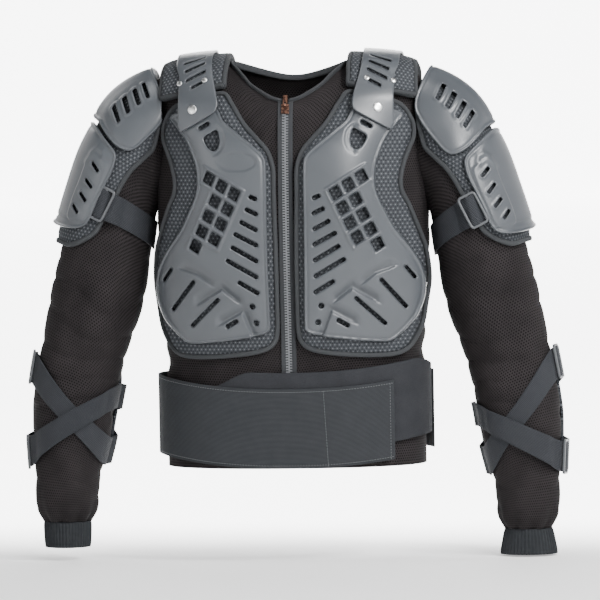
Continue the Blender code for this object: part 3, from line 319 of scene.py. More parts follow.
def sleeve_centre(side, along):
    """Centre line of a sleeve, as a smooth curve through its stations."""
    return vectors(SIDES[side] * SLEEVE_SPREAD * curve_through(SLEEVE_STATIONS, 1, along),
                   -SLEEVE_FORWARD * curve_through(SLEEVE_STATIONS, 5, along),
                   -SLEEVE_REACH[side] * curve_through(SLEEVE_STATIONS, 2, along))


def sleeve_round(side, along, angle, lift=0.0, pressed=0.0):
    """Point on a sleeve, an ellipse square to its centre line: angle 0 outside, 90 degrees front."""
    along, angle, lift, pressed = np.broadcast_arrays(along, angle, lift, pressed)
    small = 0.01
    middle = np.clip(along, small, 1 - small)
    way = sleeve_centre(side, middle + small) - sleeve_centre(side, middle - small)
    way[..., 1] = 0
    way = unit(way)
    outward = vectors(-way[..., 2], 0.0, way[..., 0]) * SIDES[side]
    forward = np.array([0.0, -1.0, 0.0])
    width = SLEEVE_HALF_WIDTH * curve_through(SLEEVE_STATIONS, 3, along)
    depth = SLEEVE_HALF_DEPTH * curve_through(SLEEVE_STATIONS, 4, along)

    def turned(wide, deep):
        return ((np.cos(angle) * wide)[..., None] * outward
                + (np.sin(angle) * deep)[..., None] * forward)

    normal = unit(turned(1 / width, 1 / depth))
    ring = turned(width - pressed, depth - pressed)
    return sleeve_centre(side, along) + ring + normal * lift[..., None]


def along_at(side, drop):
    """Share of the sleeve at which its centre line is at this drop."""
    dense = np.linspace(0, 1, 400)
    return np.interp(drop, -sleeve_centre(side, dense)[:, 2], dense)


def crest_drop(x):
    """Drop at which the body is just as wide as x."""
    dense = np.linspace(0.0, 0.09 * BODY_DROP, 2000)
    return float(np.interp(x, torso_sizes(dense)[0], dense))


def over_shoulder(side, x_of, front_of, back_of, across, count, lift_of, exact=0.0):
    """Grid over the shoulder, from its front edge over the crest to its back edge.

    Each column runs at one share across, and its points lie evenly along it. With exact at 1,
    the front's lifted points are corrected until they stand at the x asked for.
    """
    columns = []
    climb = np.linspace(1, 0, 90) ** 2
    for share in across:
        crest = crest_drop(x_of(share, 0.0))
        ahead = crest + (front_of(share) - crest) * climb
        behind = crest + (back_of(share) - crest) * climb[::-1]
        goal = x_of(share, ahead)
        near_front = exact * smooth_step(crest + 0.004, crest + 0.030, ahead)
        for _ in range(4):
            turn_ahead = front_angle(goal, ahead, 0.0)
            reached = torso_round(turn_ahead, ahead, lift_of(ahead, turn_ahead))[..., 0]
            goal = goal + (x_of(share, ahead) - reached) * near_front
        turn_behind = math.pi - front_angle(x_of(share, 0 * behind), behind, 0.0)
        drop = np.concatenate([ahead, behind[1:]])
        angle = np.concatenate([turn_ahead, turn_behind[1:]])
        columns.append(evenly(torso_round(angle, drop, lift_of(drop, angle)), count))
    points = np.stack(columns, axis=1)
    points[..., 0] *= SIDES[side]
    return points


def strap_lift(drop, angle):
    """Lift of a strap plate: over the shoulder pad, then over the top of the chest plate."""
    on_plate = smooth_step(0.030, 0.058, drop) * (np.asarray(angle) < math.pi / 2)
    on_pad = SHOULDER_SEAT + SHOULDER_PAD_THICK + RIDGE_SEAT
    over_plate = 2 * SEAT_GAP + PAD + PLATE + STRAP_RISE
    return on_pad + (over_plate - on_pad) * on_plate


# Mesh makers


def grid_corners(rows, columns, loop_down=False, loop_across=False):
    """Corners of every quad of a grid: as vertex numbers that wrap, and as places that don't."""
    down = np.arange(rows if loop_down else rows - 1)[:, None]
    across = np.arange(columns if loop_across else columns - 1)[None, :]
    steps = ((0, 0), (0, 1), (1, 1), (1, 0))
    wrapped = [((down + d) % rows) * columns + (across + a) % columns for d, a in steps]
    plain = [(down + d) * (columns + loop_across) + across + a for d, a in steps]
    return np.stack(wrapped, -1).reshape(-1, 4), np.stack(plain, -1).reshape(-1, 4)


def flat_lengths(points, loop_down=False, loop_across=False):
    """UV in metres: length along the grid's mean row, and down its mean column."""
    wide = np.concatenate([points, points[:, :1]], axis=1) if loop_across else points
    tall = np.concatenate([wide, wide[:1]], axis=0) if loop_down else wide
    across = np.linalg.norm(np.diff(tall, axis=1), axis=-1).mean(axis=0)
    down = np.linalg.norm(np.diff(tall, axis=0), axis=-1).mean(axis=1)
    return vectors(summed(across)[None, :], summed(down)[:, None])


def faced_out(points, faces, uv, hub):
    """The faces and their UVs, turned round if most of their area looks towards the hub."""
    corners = points[faces]
    normal = np.cross(corners[:, 1] - corners[:, 0], corners[:, 2] - corners[:, 0])
    away = (normal * (corners.mean(axis=1) - np.asarray(hub))).sum()
    if away < 0:
        return faces[:, ::-1], uv[:, ::-1]
    return faces, uv


def add_object(name, data):
    obj = bpy.data.objects.new(name, data)
    bpy.context.scene.collection.objects.link(obj)
    return obj


def add_piece(name, points, faces, uv, finish):
    """A mesh object from arrays: its points, its faces and a UV for each face corner."""
    mesh = bpy.data.meshes.new(name)
    mesh.vertices.add(len(points))
    mesh.vertices.foreach_set("co", np.ascontiguousarray(points, np.float32).ravel())
    mesh.loops.add(faces.size)
    mesh.loops.foreach_set("vertex_index", np.ascontiguousarray(faces, np.int32).ravel())
    mesh.polygons.add(len(faces))
    starts = np.arange(0, faces.size, faces.shape[1], dtype=np.int32)
    mesh.polygons.foreach_set("loop_start", starts)
    mesh.update(calc_edges=True)
    layer = mesh.uv_layers.new(name="UVMap")
    layer.uv.foreach_set("vector", np.ascontiguousarray(uv, np.float32).ravel())
    mesh.validate()
    mesh.shade_smooth()
    obj = add_object(name, mesh)
    mesh.materials.append(FINISHES[finish])
    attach(obj, BODY)
    return obj


def grid_piece(name, points, finish, hub, loop_down=False, loop_across=False, uv=None):
    rows, columns = points.shape[:2]
    faces, places = grid_corners(rows, columns, loop_down, loop_across)
    if uv is None:
        uv = flat_lengths(points, loop_down, loop_across)
    flat = points.reshape(-1, 3)
    faces, corners = faced_out(flat, faces, uv.reshape(-1, 2)[places], hub)
    return add_piece(name, flat, faces, corners, finish)


def thicken(obj, wall, offset=-1.0, bevel=0.0):
    """Gives a surface its wall, and rounds the edges of the wall."""
    solid = obj.modifiers.new("wall", "SOLIDIFY")
    solid.thickness = wall
    solid.offset = offset
    if bevel:
        edge = obj.modifiers.new("edge", "BEVEL")
        edge.width = bevel
        edge.segments = 2
        edge.limit_method = "ANGLE"
        edge.angle_limit = math.radians(50)
        edge.harden_normals = False
    return obj


def reshape(obj, change):
    """Changes a piece's mesh through bmesh."""
    work = bmesh.new()
    work.from_mesh(obj.data)
    change(work)
    work.to_mesh(obj.data)
    work.free()


def fill_ends(work):
    """Closes the open ends of a tube."""
    bmesh.ops.holes_fill(work, edges=[e for e in work.edges if e.is_boundary], sides=0)
    bmesh.ops.recalc_face_normals(work, faces=work.faces)


def puff(pad, pressure=4.0, last_frame=20):
    """Swells a pad's fabric: Blender's Cloth under pressure, its edge pinned and gravity off.

    Each point moves by the simulated direction, at most by PAD_SWELL. The result is kept as
    the mesh, and the Cloth is removed.
    """
    mesh = pad.data
    rest = np.empty(len(mesh.vertices) * 3, np.float32)
    mesh.vertices.foreach_get("co", rest)
    work = bmesh.new()
    work.from_mesh(mesh)
    held = [point.index for point in work.verts if point.is_boundary]
    work.free()
    group = pad.vertex_groups.new(name="held")
    group.add(held, 1.0, "ADD")
    for finish in pad.modifiers:
        finish.show_viewport = False
    cloth = pad.modifiers.new("cloth", "CLOTH")
    for key, value in (("quality", 5), ("mass", 0.2), ("vertex_group_mass", "held"),
                       ("use_pressure", True), ("uniform_pressure_force", pressure),
                       ("tension_stiffness", 8), ("compression_stiffness", 8),
                       ("bending_stiffness", 0.2)):
        setattr(cloth.settings, key, value)
    cloth.settings.effector_weights.gravity = 0
    cloth.point_cache.frame_start = 1
    cloth.point_cache.frame_end = last_frame
    scene = bpy.context.scene
    for number in range(1, last_frame + 1):
        scene.frame_set(number)
    graph = bpy.context.evaluated_depsgraph_get()
    after = np.empty_like(rest)
    pad.evaluated_get(graph).to_mesh().vertices.foreach_get("co", after)
    pad.evaluated_get(graph).to_mesh_clear()
    pad.modifiers.remove(cloth)
    pad.vertex_groups.remove(group)
    for finish in pad.modifiers:
        finish.show_viewport = True
    scene.frame_set(1)
    move = (after - rest).reshape(-1, 3)
    far = np.linalg.norm(move, axis=1, keepdims=True)
    move *= np.minimum(1.0, PAD_SWELL * np.tanh(far / PAD_SWELL) / np.maximum(far, 1e-9))
    mesh.vertices.foreach_set("co", (rest.reshape(-1, 3) + move).ravel())
    mesh.update()


def unit(vector):
    """The vector, or each one of an array, at length 1."""
    vector = np.asarray(vector, float)
    return vector / np.linalg.norm(vector, axis=-1, keepdims=True)


def closed_curve(knots, count):
    """Closed Catmull-Rom curve through the knots, at evenly spaced lengths."""
    knots = np.asarray(knots, float)
    t = np.linspace(0, 1, 24, endpoint=False)[None, :, None]
    a, b, c, d = (np.roll(knots, shift, axis=0)[:, None, :] for shift in (1, 0, -1, -2))
    dense = 0.5 * (2 * b + (c - a) * t + (2 * a - 5 * b + 4 * c - d) * t**2
                   + (3 * b - a - 3 * c + d) * t**3)
    return evenly(dense.reshape(-1, knots.shape[1]), count, closed=True)


def evenly(path, count, closed=False):
    """The path again, as this many points at even lengths along it."""
    path = np.concatenate([path, path[:1]]) if closed else path
    run = summed(np.linalg.norm(np.diff(path, axis=0), axis=1))
    even = np.linspace(0, run[-1], count, endpoint=not closed)
    return vectors(*(np.interp(even, run, path[:, i]) for i in range(path.shape[1])))


def tangents(path, closed):
    """Unit direction of the path at each point."""
    around = np.roll(path, -1, axis=0) - np.roll(path, 1, axis=0)
    return unit(around if closed else np.gradient(path, axis=0))


def sweep(name, path, normals, profile, finish, closed=False):
    """A closed profile carried along a path: profile x lies across the path, y along the normal."""
    way = tangents(path, closed)
    side = unit(np.cross(way, normals))
    up = np.cross(side, way)
    grid = path[:, None] + side[:, None] * profile[None, :, :1] + up[:, None] * profile[None, :, 1:]
    rows, columns = grid.shape[:2]
    faces, places = grid_corners(rows, columns, closed, True)
    corners = flat_lengths(grid, closed, True).reshape(-1, 2)[places]
    flat = grid.reshape(-1, 3)
    first = faces[:columns]
    turned, _ = faced_out(flat, first, corners[:columns], path[0])
    if not np.array_equal(turned, first):
        faces, corners = faces[:, ::-1], corners[:, ::-1]
    obj = add_piece(name, flat, faces, corners, finish)
    if not closed:
        reshape(obj, fill_ends)
    return obj


def rounded_bar(width, height, power=3.0, count=16):
    """Profile |x|^p + |y|^p = 1, from a flat bar at high p to a round one at 2."""
    turn = np.linspace(0, 2 * math.pi, count, endpoint=False)
    return vectors(signed_power(np.cos(turn), 2 / power) * width / 2,
                   signed_power(np.sin(turn), 2 / power) * height / 2)


def inside(points, outline):
    """Whether each flat point is inside an outline, by counting the sides it crosses."""
    found = np.zeros(len(points), bool)
    ends = np.roll(outline, -1, axis=0)
    for start in range(0, len(points), 4000):
        x, y = points[start : start + 4000, :1], points[start : start + 4000, 1:]
        over = (outline[None, :, 1] > y) != (ends[None, :, 1] > y)
        rise = np.where(ends[:, 1] == outline[:, 1], 1e-12, ends[:, 1] - outline[:, 1])
        cross = outline[None, :, 0] + (y - outline[None, :, 1]) / rise * (
            ends[None, :, 0] - outline[None, :, 0])
        found[start : start + 4000] = (over & (x < cross)).sum(axis=1) % 2 == 1
    return found


def away_from(points, path, closed=True):
    """Distance from each flat point to a path of straight pieces."""
    starts = path if closed else path[:-1]
    ends = np.roll(path, -1, axis=0) if closed else path[1:]
    run = ends - starts
    square = np.maximum((run**2).sum(axis=1), 1e-16)
    nearest = np.empty(len(points))
    for first in range(0, len(points), 2000):
        some = points[first : first + 2000, None, :]
        t = np.clip(((some - starts) * run).sum(axis=-1) / square, 0, 1)
        gap = np.linalg.norm(some - starts - t[..., None] * run, axis=-1)
        nearest[first : first + 2000] = gap.min(axis=1)
    return nearest


def cut_panel(name, outline, holes, place, spacing, wall, finish, hub, bevel=0.0):
    """A sheet with holes: its outline, its holes and a staggered net of points between them
    are joined flat by a Delaunay triangulation, and place() bends the whole into space."""
    low, high = outline.min(axis=0), outline.max(axis=0)
    rows = np.arange(low[1], high[1], spacing * 0.87)
    columns = np.arange(low[0], high[0], spacing)
    net = np.stack(np.meshgrid(columns, rows), axis=-1)
    net[1::2, :, 0] += spacing / 2
    net = net.reshape(-1, 2)
    net = net[inside(net, outline)]
    edges = [outline, *holes]
    for edge in edges:
        net = net[away_from(net, edge) > spacing * 0.6]
    for hole in holes:
        net = net[~inside(net, hole)]
    points = np.concatenate([*edges, net])
    sides = []
    first = 0
    for edge in edges:
        numbers = first + np.arange(len(edge))
        sides += list(zip(numbers.tolist(), np.roll(numbers, -1).tolist()))
        first += len(edge)
    found = delaunay_2d_cdt([Vector(p) for p in points.tolist()], sides, [], 0, 1e-9)
    flat = np.array([tuple(p) for p in found[0]])
    faces = np.array([f for f in found[2] if len(f) == 3])
    middle = flat[faces].mean(axis=1)
    keep = inside(middle, outline)
    for hole in holes:
        keep &= ~inside(middle, hole)
    faces = faces[keep]
    bent = place(flat)
    faces, uv = faced_out(bent, faces, flat[faces], hub)
    obj = add_piece(name, bent, faces, uv, finish)
    return thicken(obj, wall, -1.0, bevel)


def bend_on(grid, flat, size):
    """Places flat points on a grid of space points, the grid spanning size, by bilinear blending."""
    rows, columns = grid.shape[:2]
    across = np.clip(flat[:, 0] / size[0], 0, 1) * (columns - 1)
    down = np.clip(flat[:, 1] / size[1], 0, 1) * (rows - 1)
    i = np.minimum(down.astype(int), rows - 2)
    j = np.minimum(across.astype(int), columns - 2)
    s, t = (down - i)[:, None], (across - j)[:, None]
    return (grid[i, j] * (1 - s) * (1 - t) + grid[i + 1, j] * s * (1 - t)
            + grid[i, j + 1] * (1 - s) * t + grid[i + 1, j + 1] * s * t)


def slot_outline(start, end, width, power=2.0, count=28):
    """A slot from start to end as a closed outline with round ends."""
    start, end = np.asarray(start, float), np.asarray(end, float)
    length = np.linalg.norm(end - start)
    way = (end - start) / length
    square = np.array([-way[1], way[0]])
    turn = np.linspace(-math.pi / 2, math.pi / 2, count // 2)
    cap, lean = (signed_power(wave, 2 / power) for wave in (np.cos(turn), np.sin(turn)))
    inset = min(width, length) / 2
    half = np.outer(cap * inset, way) + np.outer(lean * width / 2, square)
    return np.concatenate([end - way * inset + half, start + way * inset - half])


def block_outline(centre, half, power, count=28):
    """A square or oval window with rounded corners."""
    spot = np.linspace(0, 2 * math.pi, count, endpoint=False)
    return vectors(centre[0] + half[0] * signed_power(np.cos(spot), 2 / power),
                   centre[1] + half[1] * signed_power(np.sin(spot), 2 / power))


# Materials


class Value:
    """A shader socket on which Python's operators add Math nodes."""

    def __init__(self, paint, socket):
        self.paint = paint
        self.socket = socket

    def __add__(self, other):
        return self.paint.math("ADD", self, other)

    def __radd__(self, other):
        return self.paint.math("ADD", other, self)

    def __sub__(self, other):
        return self.paint.math("SUBTRACT", self, other)

    def __rsub__(self, other):
        return self.paint.math("SUBTRACT", other, self)

    def __mul__(self, other):
        return self.paint.math("MULTIPLY", self, other)


class Paint:
    """One material, made of nodes."""

    def __init__(self, name):
        self.material = bpy.data.materials.new(name)
        self.material.use_nodes = True
        self.tree = self.material.node_tree
        self.shader = self.tree.nodes["Principled BSDF"]

    def feed(self, socket, value):
        if isinstance(value, Value):
            self.tree.links.new(value.socket, socket)
        else:
            socket.default_value = value

    def node(self, kind, settings, inputs, output=0):
        """Adds a node: its settings first, then a value or a link for each socket."""
        made = self.tree.nodes.new(kind)
        for key, value in settings.items():
            setattr(made, key, value)
        for key, value in inputs.items():
            self.feed(made.inputs[key], value)
        return Value(self, made.outputs[output])

    def math(self, operation, *values):
        return self.node("ShaderNodeMath", {"operation": operation}, dict(enumerate(values)))

    def uv(self):
        return self.parts(self.node("ShaderNodeUVMap", {"uv_map": "UVMap"}, {}))

    def place(self):
        return self.node("ShaderNodeTexCoord", {}, {}, "Object")

    def parts(self, vector):
        return [self.node("ShaderNodeSeparateXYZ", {}, {0: vector}, i) for i in range(3)]

    def noise(self, scale, detail):
        inputs = {"Vector": self.place(), "Scale": scale, "Detail": detail}
        return self.node("ShaderNodeTexNoise", {"noise_dimensions": "3D"}, inputs)

    def between(self, value, low, high):
        """0 below low, 1 above high, smooth between."""
        inputs = {"Value": value, "From Min": low, "From Max": high}
        return self.node("ShaderNodeMapRange", {"interpolation_type": "SMOOTHSTEP"}, inputs)

    def mix(self, share, first, second):
        """From the first colour at share 0 to the second at 1; each is (red, green, blue)."""
        first, second = ((*c, 1.0) if isinstance(c, tuple) else c for c in (first, second))
        return self.node("ShaderNodeMix", {"data_type": "RGBA"}, {0: share, 6: first, 7: second}, 2)

    def wave(self, length, pitch):
        """Cosine of a length in metres, one turn for each pitch."""
        return self.math("COSINE", length * (2 * math.pi / pitch))

    def finish(self, colour, roughness, height=None, depth=0.0, **others):
        """Feeds the shader: the bump stands depth metres for each unit of height."""
        if height is not None:
            bump = {"Strength": 1.0, "Distance": depth, "Height": height}
            others["normal"] = self.node("ShaderNodeBump", {}, bump)
        for name, value in dict(base_color=colour, roughness=roughness, **others).items():
            socket = name.replace("_", " ").title().replace("Ior", "IOR")
            self.feed(self.shader.inputs[socket], value)
        return self.material


def three_waves(paint, pitch):
    """Sum of three cosines 60 degrees apart, highest on a lattice of dots of this pitch."""
    u, v, _ = paint.uv()
    slant = math.sqrt(3) / 2
    third = pitch * slant
    return (paint.wave(v, third) + paint.wave(u * slant + v * 0.5, third)
            + paint.wave(u * slant - v * 0.5, third))


def mesh_cloth():
    """Open warp-knit mesh: hexagonal threads round dark holes."""
    paint = Paint("mesh_cloth_look")
    hole = paint.between(three_waves(paint, 0.0038), 0.2, 1.4)
    thread = paint.mix(paint.noise(26.0, 4.0), (0.0115, 0.0100, 0.0105), (0.032, 0.0275, 0.0285))
    colour = paint.mix(hole, thread, (0.0015, 0.0015, 0.0015))
    return paint.finish(colour, 0.90, 1.0 - hole, 0.0006, specular_ior_level=0.12)


def spacer_mesh():
    """Thick spacer fabric: light raised knots in rows, with dark open mesh between them."""
    paint = Paint("spacer_look")
    lattice = three_waves(paint, 0.0058)
    knot = paint.between(lattice, 1.9, 2.9)
    pit = paint.between(lattice, -0.6, -1.4)
    face = paint.mix(paint.noise(24.0, 5.0), (0.034, 0.037, 0.042), (0.060, 0.065, 0.072))
    dark = paint.mix(pit, face, (0.016, 0.018, 0.022))
    colour = paint.mix(knot * 0.8, dark, (0.20, 0.21, 0.225))
    return paint.finish(colour, 0.80, knot * 0.7 - pit * 0.5, 0.0012, specular_ior_level=0.2)


def moulded_plastic(name, low, high, gloss):
    """Satin moulded plastic: a fine grain, faint flow marks and rubbed patches."""
    paint = Paint(name)
    grain = paint.noise(2600.0, 2.0)
    rubbed = paint.between(paint.noise(45.0, 6.0), 0.55, 0.75)
    colour = paint.mix(paint.noise(9.0, 4.0), low, high)
    return paint.finish(colour, gloss + rubbed * 0.10 + grain * 0.06, grain, 0.00006)


def woven(name, threads_of, tones, dark, span, share, mottle, roughness, depth, **others):
    """Woven cloth: cosine threads along the UV lengths, dark between them, over mottled tones.

    threads_of gives the waves that are dark between, and the height of the weave.
    """
    paint = Paint(name)
    u, v, _ = paint.uv()
    weave, height = threads_of(paint, u, v)
    base = paint.mix(paint.noise(*mottle), *tones)
    colour = paint.mix(paint.between(weave, *span) * share, dark, base)
    return paint.finish(colour, roughness, height, depth, **others)


def elastic_threads(paint, u, v):
    """Fine cords down the band and finer picks across them."""
    cords = paint.wave(v, 0.0016)
    weave = cords * 0.6 + cords * paint.wave(u, 0.0011) * 0.4
    return weave, weave


def herringbone(paint, u, v):
    weave = paint.wave(v, 0.0020) * 0.5 + paint.wave(u + v * 0.6, 0.0018) * 0.5
    return weave, weave


def tape_ribs(paint, u, v):
    ribs = paint.wave(v, 0.0013)
    return ribs, ribs


def twill(paint, u, v):
    lines = paint.wave(u + v, 0.0011)
    return lines + paint.wave(v, 0.0014), lines


def loop_pile():
    """Brushed loops: fine fluff with soft patches."""
    paint = Paint("pile_look")
    fluff = paint.noise(900.0, 4.0)
    shade = fluff * 0.6 + paint.noise(40.0, 3.0) * 0.4
    colour = paint.mix(shade, (0.012, 0.012, 0.014), (0.042, 0.044, 0.049))
    return paint.finish(colour, 0.95, fluff, 0.0010, specular_ior_level=0.1)


def rib_knit():
    """Rib knit: dark courses across the ribs."""
    paint = Paint("rib_look")
    courses = paint.wave(paint.uv()[1], 0.0016)
    base = paint.mix(paint.noise(60.0, 4.0), (0.022, 0.024, 0.027), (0.038, 0.041, 0.045))
    colour = paint.mix(paint.between(courses, -1.0, 1.0) * 0.4, base, (0.008, 0.009, 0.010))
    return paint.finish(colour, 0.86, courses, 0.00030, specular_ior_level=0.12)


def thread():
    """Sewing thread."""
    paint = Paint("thread_look")
    colour = paint.mix(paint.noise(300.0, 2.0), (0.075, 0.078, 0.082), (0.12, 0.124, 0.128))
    return paint.finish(colour, 0.6)


def bright_metal():
    """Nickelled steel with faint brushing and tarnish."""
    paint = Paint("rivet_look")
    tarnish = paint.between(paint.noise(120.0, 5.0), 0.5, 0.75)
    colour = paint.mix(tarnish, (0.86, 0.86, 0.85), (0.60, 0.60, 0.60))
    return paint.finish(colour, 0.24 + paint.noise(400.0, 3.0) * 0.10, metallic=1.0)


def aged_copper():
    """Dark copper, bright where it is worn."""
    paint = Paint("copper_look")
    worn = paint.between(paint.noise(260.0, 6.0), 0.42, 0.66)
    colour = paint.mix(worn, (0.060, 0.034, 0.028), (0.40, 0.205, 0.140))
    return paint.finish(colour, 0.46 - worn * 0.14, worn, 0.00005, metallic=1.0)


FINISHES = {
    "mesh_cloth": mesh_cloth(),
    "spacer": spacer_mesh(),
    "plate": moulded_plastic("plate_look", (0.052, 0.057, 0.064), (0.076, 0.083, 0.092), 0.27),
    "elastic": woven("elastic_look", elastic_threads,
                     ((0.044, 0.048, 0.053), (0.066, 0.071, 0.078)), (0.011, 0.012, 0.014),
                     (-1.0, 0.9), 0.65, (60.0, 4.0), 0.78, 0.00030, specular_ior_level=0.2),
    "webbing": woven("webbing_look", herringbone,
                     ((0.042, 0.045, 0.052), (0.062, 0.066, 0.074)), (0.011, 0.012, 0.015),
                     (-1.0, 0.8), 0.6, (50.0, 4.0), 0.76, 0.00030, specular_ior_level=0.2),
    "binding": woven("binding_look", tape_ribs,
                     ((0.066, 0.070, 0.074), (0.100, 0.105, 0.109)), (0.026, 0.028, 0.031),
                     (-1.0, 1.0), 0.5, (70.0, 3.0), 0.78, 0.00022, specular_ior_level=0.2),
    "pile": loop_pile(),
    "rib": rib_knit(),
    "buckle": moulded_plastic("buckle_look", (0.060, 0.064, 0.070), (0.082, 0.087, 0.094), 0.30),
    "zip_tape": woven("zip_tape_look", twill,
                      ((0.022, 0.024, 0.028), (0.036, 0.039, 0.044)), (0.028, 0.030, 0.034),
                      (-1.6, 1.6), 0.5, (60.0, 4.0), 0.80, 0.00020),
    "zip_teeth": moulded_plastic("teeth_look", (0.100, 0.106, 0.114), (0.150, 0.157, 0.166), 0.34),
    "thread": thread(),
    "rivet": bright_metal(),
    "copper": aged_copper(),
}


# Torso and sleeves

CHEST_HUB = (0.0, 0.0, -BODY_DROP / 2)
TORSO_ROWS, TORSO_COLUMNS = 190, 220
SLEEVE_ROWS, SLEEVE_COLUMNS = 230, 132
TORSO_FOLD_DEPTH = 0.0036
CREASE_DEPTH = 0.0022
# Pleats that fan out in the cloth from the top of the zip
PLEAT_COUNT = 15
PLEAT_DEPTH = 0.0034


def neck_drops(angles):
    """Drop at which the neck hole, an ellipse seen from above, leaves the body."""
    dense = np.linspace(0.0, 0.2 * BODY_DROP, 900)
    points = torso_round(angles[None, :], dense[:, None])
    reach = np.where(points[..., 1] <= 0, NECK_FRONT, NECK_BACK)
    level = (points[..., 0] / NECK_HALF_WIDTH) ** 2 + (points[..., 1] / reach) ** 2
    return dense[np.argmax(level > 1, axis=0)]


def torso_fold(angle, drop):
    """Depth of the soft waves at the sides and back, and of the pleats that fan from the zip."""
    turn = np.degrees(angle) % 360
    loose = smooth_step(55, 85, turn) * (1 - smooth_step(275, 305, turn))
    low = smooth_step(0.16, 0.34, drop) * (1 - smooth_step(0.43, 0.50, drop))
    waves = np.sin(drop * 150 + 2.2 * np.sin(angle * 3) + angle * 2)
    x = torso_sizes(drop)[0] * signed_power(np.sin(angle), 2 / BODY_SQUARENESS)
    reach = np.hypot(x, drop - ZIP_TOP_DROP)
    fan = 0.5 + 0.5 * np.cos(PLEAT_COUNT * np.arctan2(drop - ZIP_TOP_DROP, np.abs(x)))
    share = gauss(reach - 0.052, 0.028) * np.where(x < 0, 1.0, 0.5) * (np.cos(angle) > 0)
    return TORSO_FOLD_DEPTH * loose * low * (0.5 + 0.5 * waves) + PLEAT_DEPTH * fan**2 * share


def in_sleeve(side, points, margin):
    """Whether a point is inside a sleeve's form, by its share of the nearest ring's radii."""
    alongs = np.linspace(0.0, 0.30, 60)
    centres = sleeve_centre(side, alongs)
    outer = sleeve_round(side, alongs, 0.0) - centres
    width = np.linalg.norm(outer, axis=-1)
    depth = SLEEVE_HALF_DEPTH * curve_through(SLEEVE_STATIONS, 4, alongs)
    found = np.zeros(len(points), bool)
    for centre, out, wide, deep in zip(centres, outer / width[:, None], width, depth):
        away = points - centre
        across = away @ out
        down = away - across[:, None] * out
        down[:, 1] = 0
        level = (across / (wide + margin)) ** 2 + (away[:, 1] / (deep + margin)) ** 2
        found |= (np.linalg.norm(down, axis=1) < 0.004) & (level < 1)
    return found


def keep_faces(obj, wanted):
    """Deletes the faces whose middles aren't wanted."""
    def change(work):
        keep = wanted(np.array([face.calc_center_median()[:] for face in work.faces]))
        drop = [face for face, stays in zip(work.faces, keep) if not stays]
        bmesh.ops.delete(work, geom=drop, context="FACES")

    reshape(obj, change)


def make_torso():
    columns = np.linspace(0, 1, TORSO_COLUMNS)
    start = front_angle(FRONT_SLOT / 2, 0.2, 0.0)
    top = neck_drops(start + (2 * math.pi - 2 * start) * columns)
    drops = top + (BODY_DROP - top) * np.linspace(0, 1, TORSO_ROWS)[:, None]
    opening = front_angle(FRONT_SLOT / 2, drops, 0.0)
    turned = opening + (2 * math.pi - 2 * opening) * columns
    points = torso_round(turned, drops, -torso_fold(turned, drops))
    torso = grid_piece("torso_cloth", points, "mesh_cloth", CHEST_HUB)
    keep_faces(torso, lambda at: ~in_sleeve("left", at, -0.003) & ~in_sleeve("right", at, -0.003))
    thicken(torso, CLOTH)
    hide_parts("torso_shell")
    out = torso_round(turned[0], drops[0], 1.0) - torso_round(turned[0], drops[0])
    sweep("neck_binding", evenly(points[0], 200), evenly(out, 200),
          rounded_bar(0.0042, 0.0100, 2.4), "zip_tape")


def crease(along, angle):
    """Fine wrinkles: ridges of folded sine waves that drift round the sleeve."""
    drift = 1.6 * np.sin(5 * along * math.pi) + 0.8 * np.sin(2 * angle + 9 * along)
    ridge = 1 - np.abs(np.sin(14 * along * math.pi + drift * np.cos(angle + 2 * along)))
    open_part = smooth_step(0.30, 0.42, along) * (1 - smooth_step(0.90, 0.97, along))
    return CREASE_DEPTH * ridge**2 * open_part


def sleeve_starts(side, angles):
    """Share of the sleeve at which each of its lines leaves the body."""
    dense = np.linspace(0.0, 0.31, 320)
    points = sleeve_round(side, dense[:, None], angles[None, :])
    buried = torso_level(points) < 1.0
    last = len(dense) - 1 - np.argmax(buried[::-1], axis=0)
    return np.where(buried.any(axis=0), dense[last], 0.0)


def make_sleeve(side):
    angles = np.linspace(0, 2 * math.pi, SLEEVE_COLUMNS, endpoint=False)
    starts = sleeve_starts(side, angles)
    alongs = starts + (1 - starts) * np.linspace(0, 1, SLEEVE_ROWS)[:, None]
    pressed = sleeve_fold(alongs, angles[None, :]) + crease(alongs, angles[None, :])
    points = sleeve_round(side, alongs, angles[None, :], 0.0, pressed)
    sleeve = grid_piece("sleeve_cloth_" + side, points, "mesh_cloth", sleeve_centre(side, 0.5),
                        loop_across=True)
    thicken(sleeve, CLOTH)
    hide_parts("sleeve_" + side)


def make_cuff(side):
    """Rib-knit cuff: its half width and depth wave once for each rib, and it rolls at the hem."""
    angles = np.linspace(0, 2 * math.pi, CUFF_RIBS * 6, endpoint=False)
    down = np.linspace(0, 1, 18)[:, None]
    centre = sleeve_centre(side, 1.0)
    roll = 0.0010 * (np.abs(2 * down - 1) ** 4)
    wave = 0.0006 * np.cos(CUFF_RIBS * angles)[None, :] - 0.0007 - roll
    half = CUFF_HALF_WIDTH + CUFF_FLARE[side] * down + wave
    deep = CUFF_HALF_DEPTH + wave
    points = vectors(centre[0] + half * np.cos(angles), centre[1] - deep * np.sin(angles),
                     centre[2] - CUT_GAP - CUFF_LENGTH * down)
    cuff = grid_piece("cuff_knit_" + side, points, "rib",
                      centre - np.array([0, 0, CUFF_LENGTH / 2]), loop_across=True)
    thicken(cuff, CUFF_WALL - 0.0010)
    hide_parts("cuff_" + side)
    "sleeve_cloth_" + side


# Chest pads and plates

PAD_SINK = 0.0022
PAD_SWELL = 0.0017
PAD_MESH = 0.0042
SLEEVE_CLEAR = 0.0015
PLATE_BULGE = 0.0070


def inset_path(outline, inset):
    """The outline moved inwards by a distance."""
    way = tangents(outline, True)
    square = np.stack([-way[:, 1], way[:, 0]], axis=-1)
    moved = outline + square * inset
    if inside(moved[:40], outline).mean() < 0.5:
        moved = outline - square * inset
    return moved


